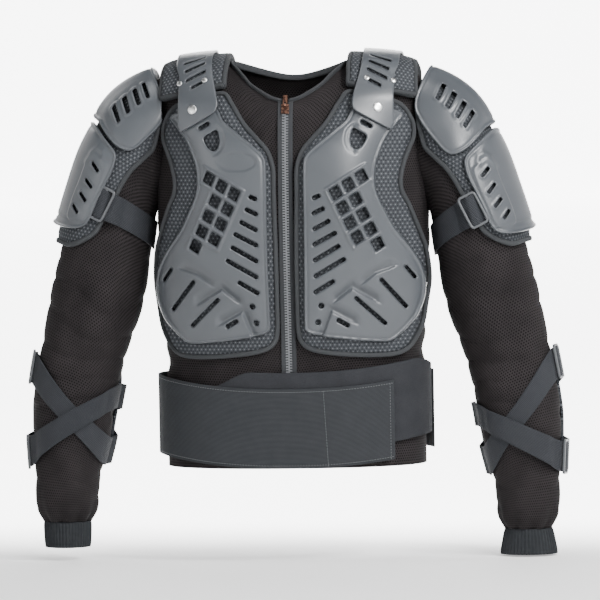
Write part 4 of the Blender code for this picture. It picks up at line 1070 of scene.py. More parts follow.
def make_pad(kind, side, outline, seat, thick, span, place, hub, wanted):
    """Spacer mesh that sinks towards its edge, and the binding swept along the outline.

    The binding stands in the direction between the two lifts of span.
    """
    face = inset_path(outline, BINDING - BINDING_LAP)

    def sheet(flat):
        sink = PAD_SINK * (1 - smooth_step(0.0, 0.010, away_from(flat, face)))
        return place(flat, seat + thick - sink)

    pad = cut_panel(kind + "_spacer_" + side, face, [], sheet, PAD_MESH, thick - PAD_SINK,
                    "spacer", hub)
    middle = inset_path(outline, BINDING / 2)
    normals = place(middle, span[1]) - place(middle, span[0])
    edge = sweep(kind + "_edge_" + side, place(middle, seat + thick / 2), normals,
                 rounded_bar(BINDING, thick * 0.94, BINDING_POWER), "binding", closed=True)
    for piece in (pad, edge):
        keep_faces(piece, wanted)
    finish_pad(kind, side, pad)


def finish_pad(kind, side, pad):
    puff(pad)
    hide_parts(kind + "_pad_" + side)
    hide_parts(kind + "_binding_" + side)


def make_chest_pad(side):
    make_pad("chest", side, closed_curve(np.array(CHEST_PAD_OUTLINE) / 1000, 420), SEAT_GAP, PAD,
             (SEAT_GAP, SEAT_GAP + PAD), lambda flat, lift: chest_place(side, flat, lift),
             CHEST_HUB, lambda at: ~in_sleeve(side, at, SLEEVE_CLEAR))


# Windows of the plate's square grid, as (steps across, steps down) from the first one's middle
WINDOW_START = (0.0668, 0.169)
WINDOW_ACROSS = (0.0166, -0.0100)
WINDOW_DOWN = (0.0090, 0.0192)
WINDOWS = ((0, 0), (1, 0), (2, 0), (0, 1), (1, 1), (0, 2), (1, 2), (0, 3), (1, 3), (1, 4))
WINDOW_HALF = (0.345, 0.335)
# Slots, in millimetres: start across, its drop, end across, its drop, width
VENT_SLOTS = (
    (36.3, 176.2, 46.8, 171.7, 5.5), (35.5, 195.8, 52.0, 187.7, 5.5),
    (36.3, 216.1, 59.2, 203.8, 5.5), (35.9, 236.1, 67.3, 219.4, 5.5),
    (36.3, 256.1, 71.4, 236.5, 5.5), (36.7, 276.5, 78.2, 252.9, 5.5),
    (35.9, 297.3, 63.3, 280.9, 5.5),
)
DOTS = ((0.0452, 0.3140), (0.0406, 0.3357))
DOT_RADIUS = 0.0037
FINGER_SLOTS = (
    (153.6, 264.5, 166.5, 281.7, 4.2), (122.2, 279.7, 154.8, 319.7, 5.0),
    (89.1, 302.9, 128.2, 340.2, 5.0), (65.0, 331.7, 81.0, 341.0, 6.0),
)
SHIELD_SLOT = (99.4, 78.9, 113.7, 87.0, 5.4)
SHIELD_VENT = (0.0956, 0.1010)
SHIELD_REACH = (0.0185, 0.0215)
SHIELD_KNOTS = ((88.0, 91.0), (90.5, 88.0), (97.0, 91.5), (106.5, 97.5), (105.0, 104.5),
                (100.5, 111.0), (94.5, 114.5), (89.0, 112.0), (86.2, 105.5), (86.3, 97.5))
OVAL = (0.0626, 0.1286, 0.0257, 0.0125)


def outline_share(flat, outline):
    """Share across the outline, from its zip side to its sleeve side, at each point's drop."""
    drops = np.linspace(outline[:, 1].min() + 1e-4, outline[:, 1].max() - 1e-4, 160)
    gap = np.abs(outline[None, :, 1] - drops[:, None])
    close = gap < 0.004
    near = np.where(close, outline[None, :, 0], np.inf).min(axis=1)
    far = np.where(close, outline[None, :, 0], -np.inf).max(axis=1)
    low = np.interp(flat[:, 1], drops, near)
    high = np.interp(flat[:, 1], drops, far)
    across = np.clip((flat[:, 0] - low) / np.maximum(high - low, 1e-6), 0, 1)
    down = np.clip((flat[:, 1] - drops[0]) / (drops[-1] - drops[0]), 0, 1)
    return across, down


# Fingers at the foot of the plate: apex, ends of its chevron's two arms, groove depth (mm)
FINGERS = (
    ((57.9, 320.3), (46.7, 349.9), (82.8, 333.9), 5.6),
    ((85.9, 290.7), (68.3, 304.3), (111.5, 306.7), 5.8),
    ((116.3, 272.3), (103.5, 281.9), (134.0, 266.5), 4.4),
)
GROOVE_WIDTH = 0.0085
FINGER_SLOPE = 0.0024
# Raised ribs of the window frame, in steps of the grid: start across, end across, row
FRAME_ROWS = (
    (-0.56, 2.62, -0.50), (-0.56, 2.60, 0.50), (-0.56, 1.56, 1.50), (-0.56, 1.56, 2.50),
    (-0.56, 1.56, 3.50),
)
FRAME_SIDES = ((-0.56, -0.50, 3.50), (1.56, 0.50, 4.40))
WINDOW_STEP = (0.0193, 0.0211)
RIB_HEIGHT = 0.0019
RIB_WIDTH = 0.0013
POCKET_DEPTH = 0.0013


def finger_dents(flat):
    """Depth below the moulding: a groove lies along the outer side of each chevron. It falls
    softly towards the chevron's two arms, and rises steeply to the finger between them."""
    depth = np.zeros(len(flat))
    for apex, first, second, sunk in FINGERS:
        apex, first, second = (np.array(spot) / 1000 for spot in (apex, first, second))
        middle = unit(unit(first - apex) + unit(second - apex))
        below = []
        for end in (first, second):
            way = unit(end - apex)
            square = np.array([-way[1], way[0]])
            square = square if square.dot(middle) > 0 else -square
            below.append((flat - apex) @ square)
        near = np.minimum(*below)
        gap = away_from(flat, np.array([first, apex, second]), closed=False)
        depth += sunk / 1000 * gauss(gap, GROOVE_WIDTH) * (1 - smooth_step(-0.0004, FINGER_SLOPE, near))
    return depth


def grid_steps(flat):
    """Place on the window grid, as steps across and steps down from the first window."""
    basis = np.array([WINDOW_ACROSS, WINDOW_DOWN]).T
    return (flat - np.array(WINDOW_START)) @ np.linalg.inv(basis).T


def window_frame(flat):
    """Height of the frame: round-topped ribs along grid lines, and a shallow pocket per window."""
    across, down = grid_steps(flat).T
    wide, tall = WINDOW_STEP
    height = np.zeros(len(flat))
    for run, line, first, last, place, ratio in (
        *((across, down, start, end, row, (wide, tall, 1.0)) for start, end, row in FRAME_ROWS),
        *((down, across, start, end, column, (tall, wide, 0.8)) for column, start, end in FRAME_SIDES),
    ):
        beyond = np.maximum(np.maximum(first - run, run - last), 0) * ratio[0]
        gap = np.hypot((line - place) * ratio[1], beyond)
        height = np.maximum(height, ratio[2] * RIB_HEIGHT * gauss(gap, RIB_WIDTH))
    for column, row in WINDOWS:
        gap = np.maximum(np.abs(across - column) * wide, np.abs(down - row) * tall)
        height -= POCKET_DEPTH * (1 - smooth_step(0.0074, 0.0090, gap))
    return height


def plate_relief(flat, outline, holes, side):
    """Height of the moulding over the plain dome, from distances to its features."""
    edge = away_from(flat, outline)
    height = 0.0013 * gauss(edge - 0.0016, 0.0011) - 0.0010 * gauss(edge - 0.0042, 0.0013)
    height -= finger_dents(flat)
    height += window_frame(flat)
    lip = np.full(len(flat), 1.0)
    for hole in holes:
        near = np.abs(flat - hole.mean(axis=0)).max(axis=1) < 0.045
        lip[near] = np.minimum(lip[near], away_from(flat[near], hole))
    height -= 0.0008 * (1 - smooth_step(0.0, 0.0018, lip))
    x, y = flat[:, 0] - SHIELD_VENT[0], flat[:, 1] - SHIELD_VENT[1]
    shield = 1 - smooth_step(0.80, 1.02, np.hypot(x / SHIELD_REACH[0], y / SHIELD_REACH[1]))
    height -= 0.0018 * shield * smooth_step(0.004, -0.006, x + 0.002)
    if side == "right":
        x, y = flat[:, 0] - OVAL[0], flat[:, 1] - OVAL[1]
        height -= 0.0013 * (1 - smooth_step(0.94, 1.03, np.hypot(x / OVAL[2], y / OVAL[3])))
    return height


def shield_outline():
    """The vent at the top: a pointed arch hung below a straight slanted upper edge."""
    return closed_curve(np.array(SHIELD_KNOTS) / 1000, 48)


def make_chest_plate(side):
    outline = closed_curve(np.array(CHEST_PLATE_OUTLINE) / 1000, 460)
    basis = np.array([WINDOW_ACROSS, WINDOW_DOWN])
    square = block_outline((0.0, 0.0), WINDOW_HALF, 9.0, 32)
    holes = [np.array(WINDOW_START) + (square + window) @ basis for window in WINDOWS]
    holes += [block_outline(dot, (DOT_RADIUS, DOT_RADIUS), 2.0) for dot in DOTS]
    for *ends, width in (*VENT_SLOTS, *FINGER_SLOTS, SHIELD_SLOT):
        start, end = np.reshape(ends, (2, 2)) / 1000
        holes.append(slot_outline(start, end, width / 1000))
    holes.append(shield_outline())

    def place(flat):
        across, down = outline_share(flat, outline)
        across = (1.35 - np.sqrt(np.maximum(1.35**2 - 1.4 * across, 0))) / 0.7
        dome = np.nan_to_num(np.sin(math.pi * across) ** 0.7 * np.sin(math.pi * down) ** 0.5)
        lift = SEAT_GAP + PAD + PLATE_SEAT + PLATE + PLATE_BULGE * dome
        lift -= edge_roll(flat, outline, 0.0010, 0.0014)
        return chest_place(side, flat, lift + plate_relief(flat, outline, holes, side))

    plate = cut_panel("chest_shield_" + side, outline, holes, place, 0.0017, PLATE, "plate",
                      CHEST_HUB)
    keep_faces(plate, lambda at: ~in_sleeve(side, at, SLEEVE_CLEAR))
    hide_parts("chest_plate_" + side)


# Shoulder pads and strap plates


def shoulder_hub(side):
    return (SIDES[side] * SHOULDER_PAD_CENTRE, 0, -0.10)


def shoulder_pad_grid(side, inset, count, lift):
    """Grid of a shoulder pad, its edge moved in by the inset."""
    half = SHOULDER_PAD_WIDTH / 2 - inset
    return over_shoulder(
        side, lambda share, drop: SHOULDER_PAD_CENTRE + half * share + 0 * drop,
        lambda share: SHOULDER_PAD_FRONT_DROP + SHOULDER_PAD_SLANT * half * share - inset,
        lambda share: SHOULDER_PAD_BACK_DROP - inset,
        np.linspace(-1, 1, 22), count, lambda drop, angle: lift)


def grid_edge(points):
    """The grid's edge, once round."""
    return np.concatenate(
        [points[0, :-1], points[:-1, -1], points[-1, :0:-1], points[:0:-1, 0]]
    )


def make_shoulder_pad(side):
    top = SHOULDER_SEAT + SHOULDER_PAD_THICK
    grid = shoulder_pad_grid(side, BINDING - BINDING_LAP, 60, top)
    pad = grid_piece("shoulder_spacer_" + side, grid, "spacer", shoulder_hub(side))
    thicken(pad, SHOULDER_PAD_THICK)
    low = shoulder_pad_grid(side, BINDING / 2, 60, SHOULDER_SEAT)
    high = shoulder_pad_grid(side, BINDING / 2, 60, top)
    path = evenly(grid_edge((low + high) / 2), 240, closed=True)
    normals = evenly(grid_edge(high - low), 240, closed=True)
    edge = sweep("shoulder_edge_" + side, path, normals,
                 rounded_bar(BINDING, SHOULDER_PAD_THICK * 0.96, BINDING_POWER), "binding",
                 closed=True)
    finish_pad("shoulder", side, pad)


def strap_grid(side):
    """Grid of the strap plate's outer face: its width and centre change towards the front."""
    def place(share, drop):
        end = smooth_step(0.015, 0.065, drop)
        centre = SHOULDER_PAD_CENTRE + (STRAP_END_CENTRE - SHOULDER_PAD_CENTRE) * end
        return centre + share * (STRAP_WIDTH + (STRAP_END_WIDTH - STRAP_WIDTH) * end) / 2

    return over_shoulder(side, place,
                         lambda share: STRAP_FRONT_DROP + STRAP_SLANT * STRAP_END_WIDTH * share / 2,
                         lambda share: STRAP_BACK_DROP, np.linspace(-1, 1, 25), 140,
                         lambda drop, angle: strap_lift(drop, angle) + PLATE, 1.0)


STRAP_SIZE = (0.050, 0.200)
STRAP_OUTLINE = (
    (0.0015, 0.003), (0.006, 0.0), (0.044, 0.0), (0.0485, 0.003), (0.050, 0.010), (0.049, 0.060),
    (0.050, 0.120), (0.050, 0.190), (0.0485, 0.197), (0.044, 0.200), (0.006, 0.200),
    (0.0015, 0.197), (0.0, 0.190), (0.0, 0.120), (0.001, 0.060), (0.0, 0.010),
)
# Slots across the strap plate, in shares of its width, and in metres from its front edge
STRAP_SLOTS = ((0.20, 0.80, 0.064), (0.20, 0.80, 0.054), (0.20, 0.80, 0.044), (0.30, 0.66, 0.034))


def make_strap(side):
    grid = strap_grid(side)
    holes = [
        slot_outline((start * STRAP_SIZE[0], at), (end * STRAP_SIZE[0], at), 0.0040, 2.6)
        for start, end, at in STRAP_SLOTS
    ]
    strap = cut_panel("strap_shield_" + side, closed_curve(STRAP_OUTLINE, 300), holes,
                      lambda flat: bend_on(grid, flat, STRAP_SIZE), 0.0016, PLATE, "plate",
                      shoulder_hub(side))
    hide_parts("strap_plate_" + side)


# Pads and plates on the sleeves

FLAT_RADIUS = 0.070
CAP_LIFT = 0.0122
CAP_BULGE = 0.0050
# Outlines on the left sleeve, as (turn in degrees, share along it); the right one sits higher
SIDE_SHIFT = {"left": 0.0, "right": -0.0150}
CAP_OUTLINE = (
    (54, 0.003), (70, 0.012), (80, 0.034), (87, 0.062), (89, 0.095), (87, 0.118), (81, 0.130),
    (68, 0.1345), (50, 0.129), (32, 0.1225), (10, 0.123), (-14, 0.119), (-36, 0.108),
    (-48, 0.086), (-46, 0.050), (-32, 0.020), (-8, 0.004), (22, 0.001),
)
CAP_SLOTS = (
    (33, 0.0435, 54, 0.0450), (35, 0.0600, 56, 0.0630), (36.5, 0.0755, 57, 0.0815),
    (36, 0.0915, 57, 0.1000),
)
ARM_PLATE_LIFT = SLEEVE_SEAT + ARM_PAD + 0.0042
ARM_PLATE_BULGE = 0.0030
ARM_PLATE_OUTLINE = (
    (10, 0.1290), (32, 0.1285), (52, 0.1345), (68, 0.1410), (74.5, 0.1480), (77.5, 0.160),
    (78.9, 0.184), (76.5, 0.218), (73.5, 0.255), (71.0, 0.287), (65, 0.3045), (54, 0.3130),
    (34, 0.3165), (12, 0.3150), (-10, 0.3080), (-24, 0.292), (-32, 0.262), (-37, 0.225),
    (-37, 0.190), (-30, 0.160), (-14, 0.137),
)
ARM_PLATE_SLOTS = (
    (54.2, 0.1800, 65.8, 0.1915), (53.4, 0.2125, 65.0, 0.2265), (51.8, 0.2420, 62.6, 0.2550),
    (46.5, 0.2665, 56.8, 0.2810),
)
# The moulding's arched bump, and the flat panel below it that carries the slots
ARM_BUMP = ((63.5, 0.1640), (60.0, 0.1555), (53.0, 0.1560), (47.5, 0.1660), (45.0, 0.1830))
ARM_PANEL = (
    (62.0, 0.1660), (71.5, 0.1740), (72.5, 0.2180), (68.0, 0.2800), (60.0, 0.2980),
    (44.0, 0.2960), (41.5, 0.2700), (44.5, 0.2200), (46.0, 0.1800), (52.0, 0.1640),
)
# Columns: share along, degrees ahead and degrees behind
ARM_PAD_ROWS = (
    (0.020, 74, 56), (0.045, 94, 70), (0.070, 103, 76), (0.105, 104, 80), (0.150, 99, 80),
    (0.225, 92, 72), (0.300, 80, 56), (0.340, 56, 42),
)
ELBOW_PAD_ROWS = {
    "left": ((0.412, 44), (0.422, 66), (0.470, 72), (0.518, 68), (0.530, 48)),
    "right": ((0.392, 44), (0.402, 66), (0.450, 72), (0.498, 68), (0.510, 48)),
}


def patch_outline(table, count=46):
    """Outline of a sleeve pad from rows of share along, turn ahead and turn behind."""
    rows = np.array(table, float)
    step, dense = np.linspace(0, 1, len(rows)), np.linspace(0, 1, count)
    along, ahead, behind = (np.interp(dense, step, rows[:, column]) for column in range(3))
    ahead, behind = np.radians(ahead), np.radians(behind)
    foot = np.linspace(1, -1, 30)[1:-1]
    foot_turn = np.where(foot > 0, foot * ahead[-1], foot * behind[-1])
    head_turn = np.where(foot < 0, -foot * ahead[0], -foot * behind[0])
    turn = np.concatenate([ahead, foot_turn, -behind[::-1], head_turn])
    down = np.concatenate([along, along[-1] + 0 * foot, along[::-1], along[0] + 0 * foot])
    return vectors(turn * FLAT_RADIUS, down * SLEEVE_LENGTH)


def sleeve_place(side, flat, middle, lift):
    """Point on a sleeve from a flat place: turn times the fixed radius, and the length down."""
    turn = flat[..., 0] / FLAT_RADIUS + math.radians(middle)
    return sleeve_round(side, flat[..., 1] / SLEEVE_LENGTH, turn, lift)


def sleeve_panel(name, side, outline, holes, middle, lift_of, spacing, wall, finish, at):
    """A cut panel laid on a sleeve, its lift a function of the flat place."""
    return cut_panel(name, outline, holes,
                     lambda flat: sleeve_place(side, flat, middle, lift_of(flat)),
                     spacing, wall, finish, sleeve_centre(side, at))


def patch_dome(flat, outline):
    """Share of the full bulge: the root of two half sine waves, across and down."""
    across, down = outline_share(flat, outline)
    return np.sqrt(np.clip(np.sin(math.pi * across) * np.sin(math.pi * down), 0, 1))


def sleeve_flat(side, spots):
    """Flat places from spots of turn and share along, moved by the side's shift."""
    spots = np.array(spots, float)
    turn = np.radians(spots[..., 0]) * FLAT_RADIUS
    along = np.maximum(spots[..., 1] + SIDE_SHIFT[side], 0.0)
    return np.stack([turn, along * SLEEVE_LENGTH], axis=-1)


def lips(flat, holes, height, reach):
    """A raised rim round each hole, highest at a third of its reach."""
    near = np.min([away_from(flat, hole) for hole in holes], axis=0)
    return height * gauss(near - reach / 3, reach / 2)


def rim(flat, outline):
    """Bead along the edge with a groove inside it, as two Gaussian rings."""
    edge = away_from(flat, outline)
    return 0.0012 * gauss(edge - 0.0016, 0.0011) - 0.0009 * gauss(edge - 0.0043, 0.0014)


def edge_roll(flat, outline, depth, reach):
    """How far a plate's edge rolls in."""
    return depth * (1 - smooth_step(0.0, reach, away_from(flat, outline)))


def sleeve_plate(kind, side, spots, count, slots, slot_width, seat, bulge, moulding, lip, at):
    """A plate on a sleeve: domed and slotted, with lips round its slots and a rimmed edge."""
    outline = closed_curve(sleeve_flat(side, spots), count)
    holes = [slot_outline(*sleeve_flat(side, np.reshape(slot, (2, 2))), slot_width, 2.6)
             for slot in slots]

    def lift(flat):
        return (seat + PLATE + bulge * patch_dome(flat, outline) + moulding(flat)
                + lips(flat, holes, *lip) + rim(flat, outline)
                - edge_roll(flat, outline, 0.0010, 0.0012))

    return sleeve_panel(kind + "_shield_" + side, side, outline, holes, 0.0, lift, 0.0015,
                        PLATE, "plate", at)


def make_cap(side):
    def ridge(flat):
        return 0.0024 * gauss(np.degrees(flat[:, 0] / FLAT_RADIUS) - 12, 8)

    cap = sleeve_plate("cap", side, CAP_OUTLINE, 300, CAP_SLOTS, 0.0043, CAP_LIFT, CAP_BULGE,
                       ridge, (0.0011, 0.0030), 0.08)
    keep_faces(cap, clear_of_body)
    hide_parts("shoulder_cap_" + side)


def make_arm_plate(side):
    bump = sleeve_flat(side, ARM_BUMP)
    panel = closed_curve(sleeve_flat(side, ARM_PANEL), 160)
    foot = (0.3165 + SIDE_SHIFT[side]) * SLEEVE_LENGTH

    def moulding(flat):
        within = away_from(flat, panel) * np.where(inside(flat, panel), 1.0, -1.0)
        below = foot - flat[:, 1]
        return (0.0016 * smooth_step(-0.0016, 0.0020, within)
                + 0.0016 * gauss(away_from(flat, bump, closed=False), 0.0036)
                + 0.0030 * gauss(below, 0.0060) - 0.0012 * gauss(below - 0.0125, 0.0020))

    plate = sleeve_plate("arm", side, ARM_PLATE_OUTLINE, 320, ARM_PLATE_SLOTS, 0.0046,
                         ARM_PLATE_LIFT, ARM_PLATE_BULGE, moulding, (0.0009, 0.0026), 0.2)
    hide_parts("arm_plate_" + side)


def clear_of_body(at):
    """True for points outside the torso and outside the shoulder pad's reach."""
    level = torso_level(at * np.array([0.985, 0.985, 1.0]))
    over = (np.abs(at[:, 0]) < 0.167) & (-at[:, 2] < SHOULDER_PAD_BACK_DROP)
    return (level > 1.0) & ~over


def make_arm_pad(side):
    outline = closed_curve(evenly(patch_outline(ARM_PAD_ROWS), 30, closed=True), 360)
    make_pad("arm", side, outline, SLEEVE_SEAT, ARM_PAD, (0.0, 0.01),
             lambda flat, lift: sleeve_place(side, flat, 0.0, lift),
             sleeve_centre(side, 0.15), clear_of_body)


# Straps and buckles on the sleeves

ARM_STRAP_WIDTH = 0.038
FOREARM_STRAP_WIDTH = 0.040
ARM_STRAP_DROPS = {"left": (0.203, 0.226), "right": (0.190, 0.212)}
ARM_STRAP_RISE = {"left": 0.0165, "right": 0.0160}
ARM_BUCKLE_DROPS = {"left": 0.197, "right": 0.184}
ARM_BUCKLE_TURN = {"left": math.radians(84.5), "right": math.radians(77.5)}
ARM_BUCKLE_TILT = math.radians(11.0)
FOREARM_BUCKLE_TURN = math.radians(7.0)
BAR_SPREAD = math.radians(5.2)
# Upper and lower forearm strap: drops outside and inside
FOREARM_DROPS = {
    "left": ((0.410, 0.525), (0.529, 0.459)),
    "right": ((0.409, 0.505), (0.515, 0.428)),
}
ELBOW_PAD_WALL = 0.0060
BUCKLE_LENGTH = 0.046
BUCKLE_BREADTH = 0.027
BUCKLE_BAR = 0.0034
BUCKLE_THICK = 0.0034


def loop_strap(name, side, outer_drop, inner_drop, width, lift_of, node, front_rise=0.0,
               count=300):
    """A strap round a sleeve, its middle line a cosine between an outer and an inner drop."""
    angles = np.linspace(0, 2 * math.pi, count, endpoint=False)
    outer, inner = along_at(side, outer_drop), along_at(side, inner_drop)
    middle = (outer + inner) / 2 + (outer - inner) / 2 * np.cos(angles)
    middle = middle - front_rise / SLEEVE_LENGTH * np.clip(np.sin(angles), 0, 1)
    across = np.linspace(-1, 1, 9)[:, None] * (width / 2 / SLEEVE_LENGTH)
    points = sleeve_round(side, middle + across, angles[None, :], lift_of(angles)[None, :])
    hub = sleeve_centre(side, middle[0])
    strap = grid_piece(name, points, "webbing", hub, loop_across=True)
    thicken(strap, STRAP_THICK, 1.0, 0.0005)
    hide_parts(node)
    "sleeve_cloth_" + side
    return strap


def back_zone(angles, low=198, high=342, ramp=12):
    turn = np.degrees(angles) % 360
    return smooth_step(low - ramp, low, turn) * (1 - smooth_step(high, high + ramp, turn))


def crossing_zone(angles):
    turn = np.degrees(angles) % 180
    return smooth_step(34, 54, turn) * (1 - smooth_step(126, 146, turn))


def forearm_lift(layer):
    def lift(angles):
        base = STRAP_SEAT + (ELBOW_PAD_WALL + SEAT_GAP) * back_zone(angles)
        bowed = 0.0022 * gauss((angles + math.pi) % (2 * math.pi) - math.pi, 0.42)
        return (base + layer * (STRAP_THICK + SEAT_GAP) * crossing_zone(angles) + bowed
                + over_bar(angles, FOREARM_BUCKLE_TURN))

    return lift


def make_buckle(name, side, drop, lift, angle, node, turn=0.0):
    """Slide buckle: a rounded frame and a middle bar, swept on the plane that touches the sleeve."""
    along = along_at(side, drop)
    point = sleeve_round(side, along, angle, lift)
    out = sleeve_round(side, along, angle, lift + 0.01) - point
    reach = BUCKLE_LENGTH / 2 / SLEEVE_LENGTH
    way = unit(sleeve_round(side, along + reach, angle, lift)
               - sleeve_round(side, along - reach, angle, lift))
    out = unit(out - way * way.dot(out))
    across = np.cross(way, out)
    way, across = (way * math.cos(turn) + across * math.sin(turn),
                   across * math.cos(turn) - way * math.sin(turn))
    centre = point + out * BUCKLE_THICK / 2
    half = (BUCKLE_BREADTH - BUCKLE_BAR) / 2, (BUCKLE_LENGTH - BUCKLE_BAR) / 2
    flat = evenly(block_outline((0.0, 0.0), half, 9.0, 96), 96, closed=True)
    ring = centre + flat[:, :1] * across + flat[:, 1:] * way
    frame_ring = sweep(name + "_frame", ring, np.repeat(out[None], 96, 0),
                       rounded_bar(BUCKLE_BAR, BUCKLE_THICK, 3.2, 14), "buckle", closed=True)
    sweep(name + "_bar", centre + np.linspace(-half[1], half[1], 12)[:, None] * way,
          np.repeat(out[None], 12, 0), rounded_bar(BUCKLE_BAR, BUCKLE_THICK * 0.8, 3.0, 14),
          "buckle")
    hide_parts(node)


def over_bar(angles, turn):
    """Extra lift of a strap where it passes over its buckle's middle bar."""
    return (BUCKLE_THICK + 0.0006) * np.exp(-(((angles - turn) / BAR_SPREAD) ** 4))


def make_arm_strap(side):
    turn = ARM_BUCKLE_TURN[side]

    def lift(angles):
        away = np.abs((np.degrees(angles) + 180) % 360 - 180)
        seat = ARM_STRAP_SEAT + (ARM_PAD + SEAT_GAP) * (1 - smooth_step(92, 108, away))
        return seat + over_bar(angles, turn)

    drops = ARM_STRAP_DROPS[side]
    loop_strap("arm_webbing_" + side, side, drops[0], drops[1], ARM_STRAP_WIDTH, lift,
               "arm_strap_" + side, ARM_STRAP_RISE[side])
    rise = ARM_STRAP_SEAT + ARM_PAD + SEAT_GAP + STRAP_THICK
    make_buckle("arm_slide_" + side, side, ARM_BUCKLE_DROPS[side], rise, turn,
                "arm_buckle_" + side, -SIDES[side] * ARM_BUCKLE_TILT)


def make_forearm(side):
    upper, lower = FOREARM_DROPS[side]
    rows = [(along_at(side, drop), turn, turn) for drop, turn in ELBOW_PAD_ROWS[side]]
    outline = closed_curve(evenly(patch_outline(rows), 26, closed=True), 240)

    def lift_of(flat):
        sink = 0.0020 * (1 - smooth_step(0.0, 0.008, away_from(flat, outline)))
        return ELBOW_SEAT + ELBOW_PAD_WALL - sink

    pad = sleeve_panel("elbow_spacer_" + side, side, outline, [], 270.0, lift_of, PAD_MESH,
                       ELBOW_PAD_WALL - 0.0020, "spacer", along_at(side, 0.46))
    puff(pad)
    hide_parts("elbow_pad_" + side)
    for layer, (level, (outer, inner)) in enumerate((("upper", upper), ("lower", lower))):
        loop_strap("forearm_webbing_%s_%s" % (level, side), side, outer, inner,
                   FOREARM_STRAP_WIDTH, forearm_lift(layer), "forearm_strap_%s_%s" % (level, side))
        make_buckle("forearm_slide_%s_%s" % (level, side), side, outer,
                    STRAP_SEAT + STRAP_THICK + 0.0022, FOREARM_BUCKLE_TURN,
                    "forearm_buckle_%s_%s" % (level, side))


# Belts


UNDER_BELT_SHOW = 0.0235


def sag(angles):
    return BELT_SAG * np.clip(np.cos(angles), 0, 1) ** 2


def rise(angles):
    """How far the under belt stands above the belt: full at the front, none at its two ends."""
    turn = np.degrees(angles)
    return UNDER_BELT_SHOW * smooth_step(-35, -14, turn) * (1 - 0.55 * smooth_step(62, 97, turn))


def make_belts():
    hub = (0, 0, -BELT_TOP - BELT_HEIGHT / 2)
    for name, node, finish, turns, size, top_of, height_of, lift, wall, bevel, height in (
        ("kidney_elastic", "kidney_belt", "elastic", BELT_TURNS, (300, 30),
         lambda a: BELT_TOP + sag(a), lambda a: BELT_HEIGHT + 0 * a, BELT_LIFT, BELT_WALL,
         0.0006, BELT_HEIGHT),
        ("under_pile", "under_belt", "pile", UNDER_BELT_TURNS, (150, 34),
         lambda a: BELT_TOP + 0.002 + sag(a) - rise(a),
         lambda a: UNDER_BELT_HEIGHT - 0.018 + rise(a), UNDER_BELT_LIFT, UNDER_BELT_WALL,
         0.0010, UNDER_BELT_HEIGHT),
    ):
        angles = np.radians(np.linspace(*turns, size[0]))
        drops = top_of(angles) + height_of(angles) * np.linspace(0, 1, size[1])[:, None]
        grid = torso_round(angles[None, :], drops, lift)
        belt = thicken(grid_piece(name, grid, finish, hub), wall, 1.0, bevel)
        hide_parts(node)


# Zip and small metal parts

TAPE_WIDTH = 0.0065
CHAIN_THICK = 0.0026
TAPE_WALL = 0.0010
TOOTH_PITCH = 0.0035
# Name, distance from the zip, drop and radius of a rivet and two studs on each strap plate
RIVETS = (("rivet", 0.121, 0.064, 0.0062), ("stud_inner", 0.106, 0.032, 0.0038),
          ("stud_outer", 0.141, 0.034, 0.0038))
# Shares of the radius and height, from the foot of a head to its top
RIVET_DOME = ((1.0, 0.0), (1.0, 0.34), (0.94, 0.62), (0.80, 0.80), (0.55, 0.93), (0.28, 0.99),
              (0.04, 1.0))
RIVET_HEIGHT = 0.0018
STITCH_PITCH = 0.0036


def chest_line(top, foot, lift, count):
    """Points down the front centre line, and the body's outward direction at each."""
    drops = np.linspace(top, foot, count)
    middle = torso_round(0.0, drops)
    normal = torso_round(0.0, drops, 1.0) - middle
    return middle + normal * lift, normal


def make_belt_stitches():
    """Seam down the belt's front, and the lines that hold its hems and its end."""
    outer = BELT_LIFT + BELT_WALL
    end = math.radians(BELT_TURNS[0])
    share = np.linspace(0.03, 0.97, 40)
    along = np.linspace(end - 0.02, -1.4, 160)
    for name, turns, shares in (
        ("belt_seam", 0.215 + 0.03 * share, share), ("belt_end_seam", end - 0.045 + 0 * share, share),
        ("belt_top_hem", along, 0.035), ("belt_foot_hem", along, 0.965),
    ):
        drops = BELT_TOP + sag(turns) + BELT_HEIGHT * shares
        path = torso_round(turns, drops, outer)
        stitch_line(name, path, torso_round(turns, drops, outer + 0.01) - path)


def make_tapes():
    for side, sign in SIDES.items():
        line, _ = chest_line(ZIP_TOP_DROP, BODY_DROP - 0.004, CUT_GAP * 2, 240)
        xs = np.linspace(0.0034, 0.0034 + TAPE_WIDTH, 5) * sign
        grid = line[:, None, :] + xs[None, :, None] * np.array([1.0, 0, 0])
        tape = grid_piece("zip_ribbon_" + side, grid, "zip_tape", CHEST_HUB)
        thicken(tape, TAPE_WALL, 1.0)
        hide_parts("zip_tape_" + side)


def copies(points, faces, places, frames):
    """One small shape repeated: its points turned by each frame and set at each place."""
    many = np.einsum("kij,nj->kni", frames, points) + places[:, None, :]
    shift = np.arange(len(places))[:, None, None] * len(points)
    return many.reshape(-1, 3), (faces[None] + shift).reshape(-1, faces.shape[1])


def wedge(size, taper):
    """An eight-cornered block, its far end narrower, centred on its near face."""
    x, y, z = size
    corners = np.array([(-1, -1), (1, -1), (1, 1), (-1, 1)]) * (y, z)
    points = np.vstack([np.insert(corners, 0, 0.0, axis=1),
                        np.insert(corners * taper, 0, x, axis=1)])
    faces = [(0, 3, 2, 1), (4, 5, 6, 7), (0, 1, 5, 4), (1, 2, 6, 5), (2, 3, 7, 6), (3, 0, 4, 7)]
    return points, np.array(faces)


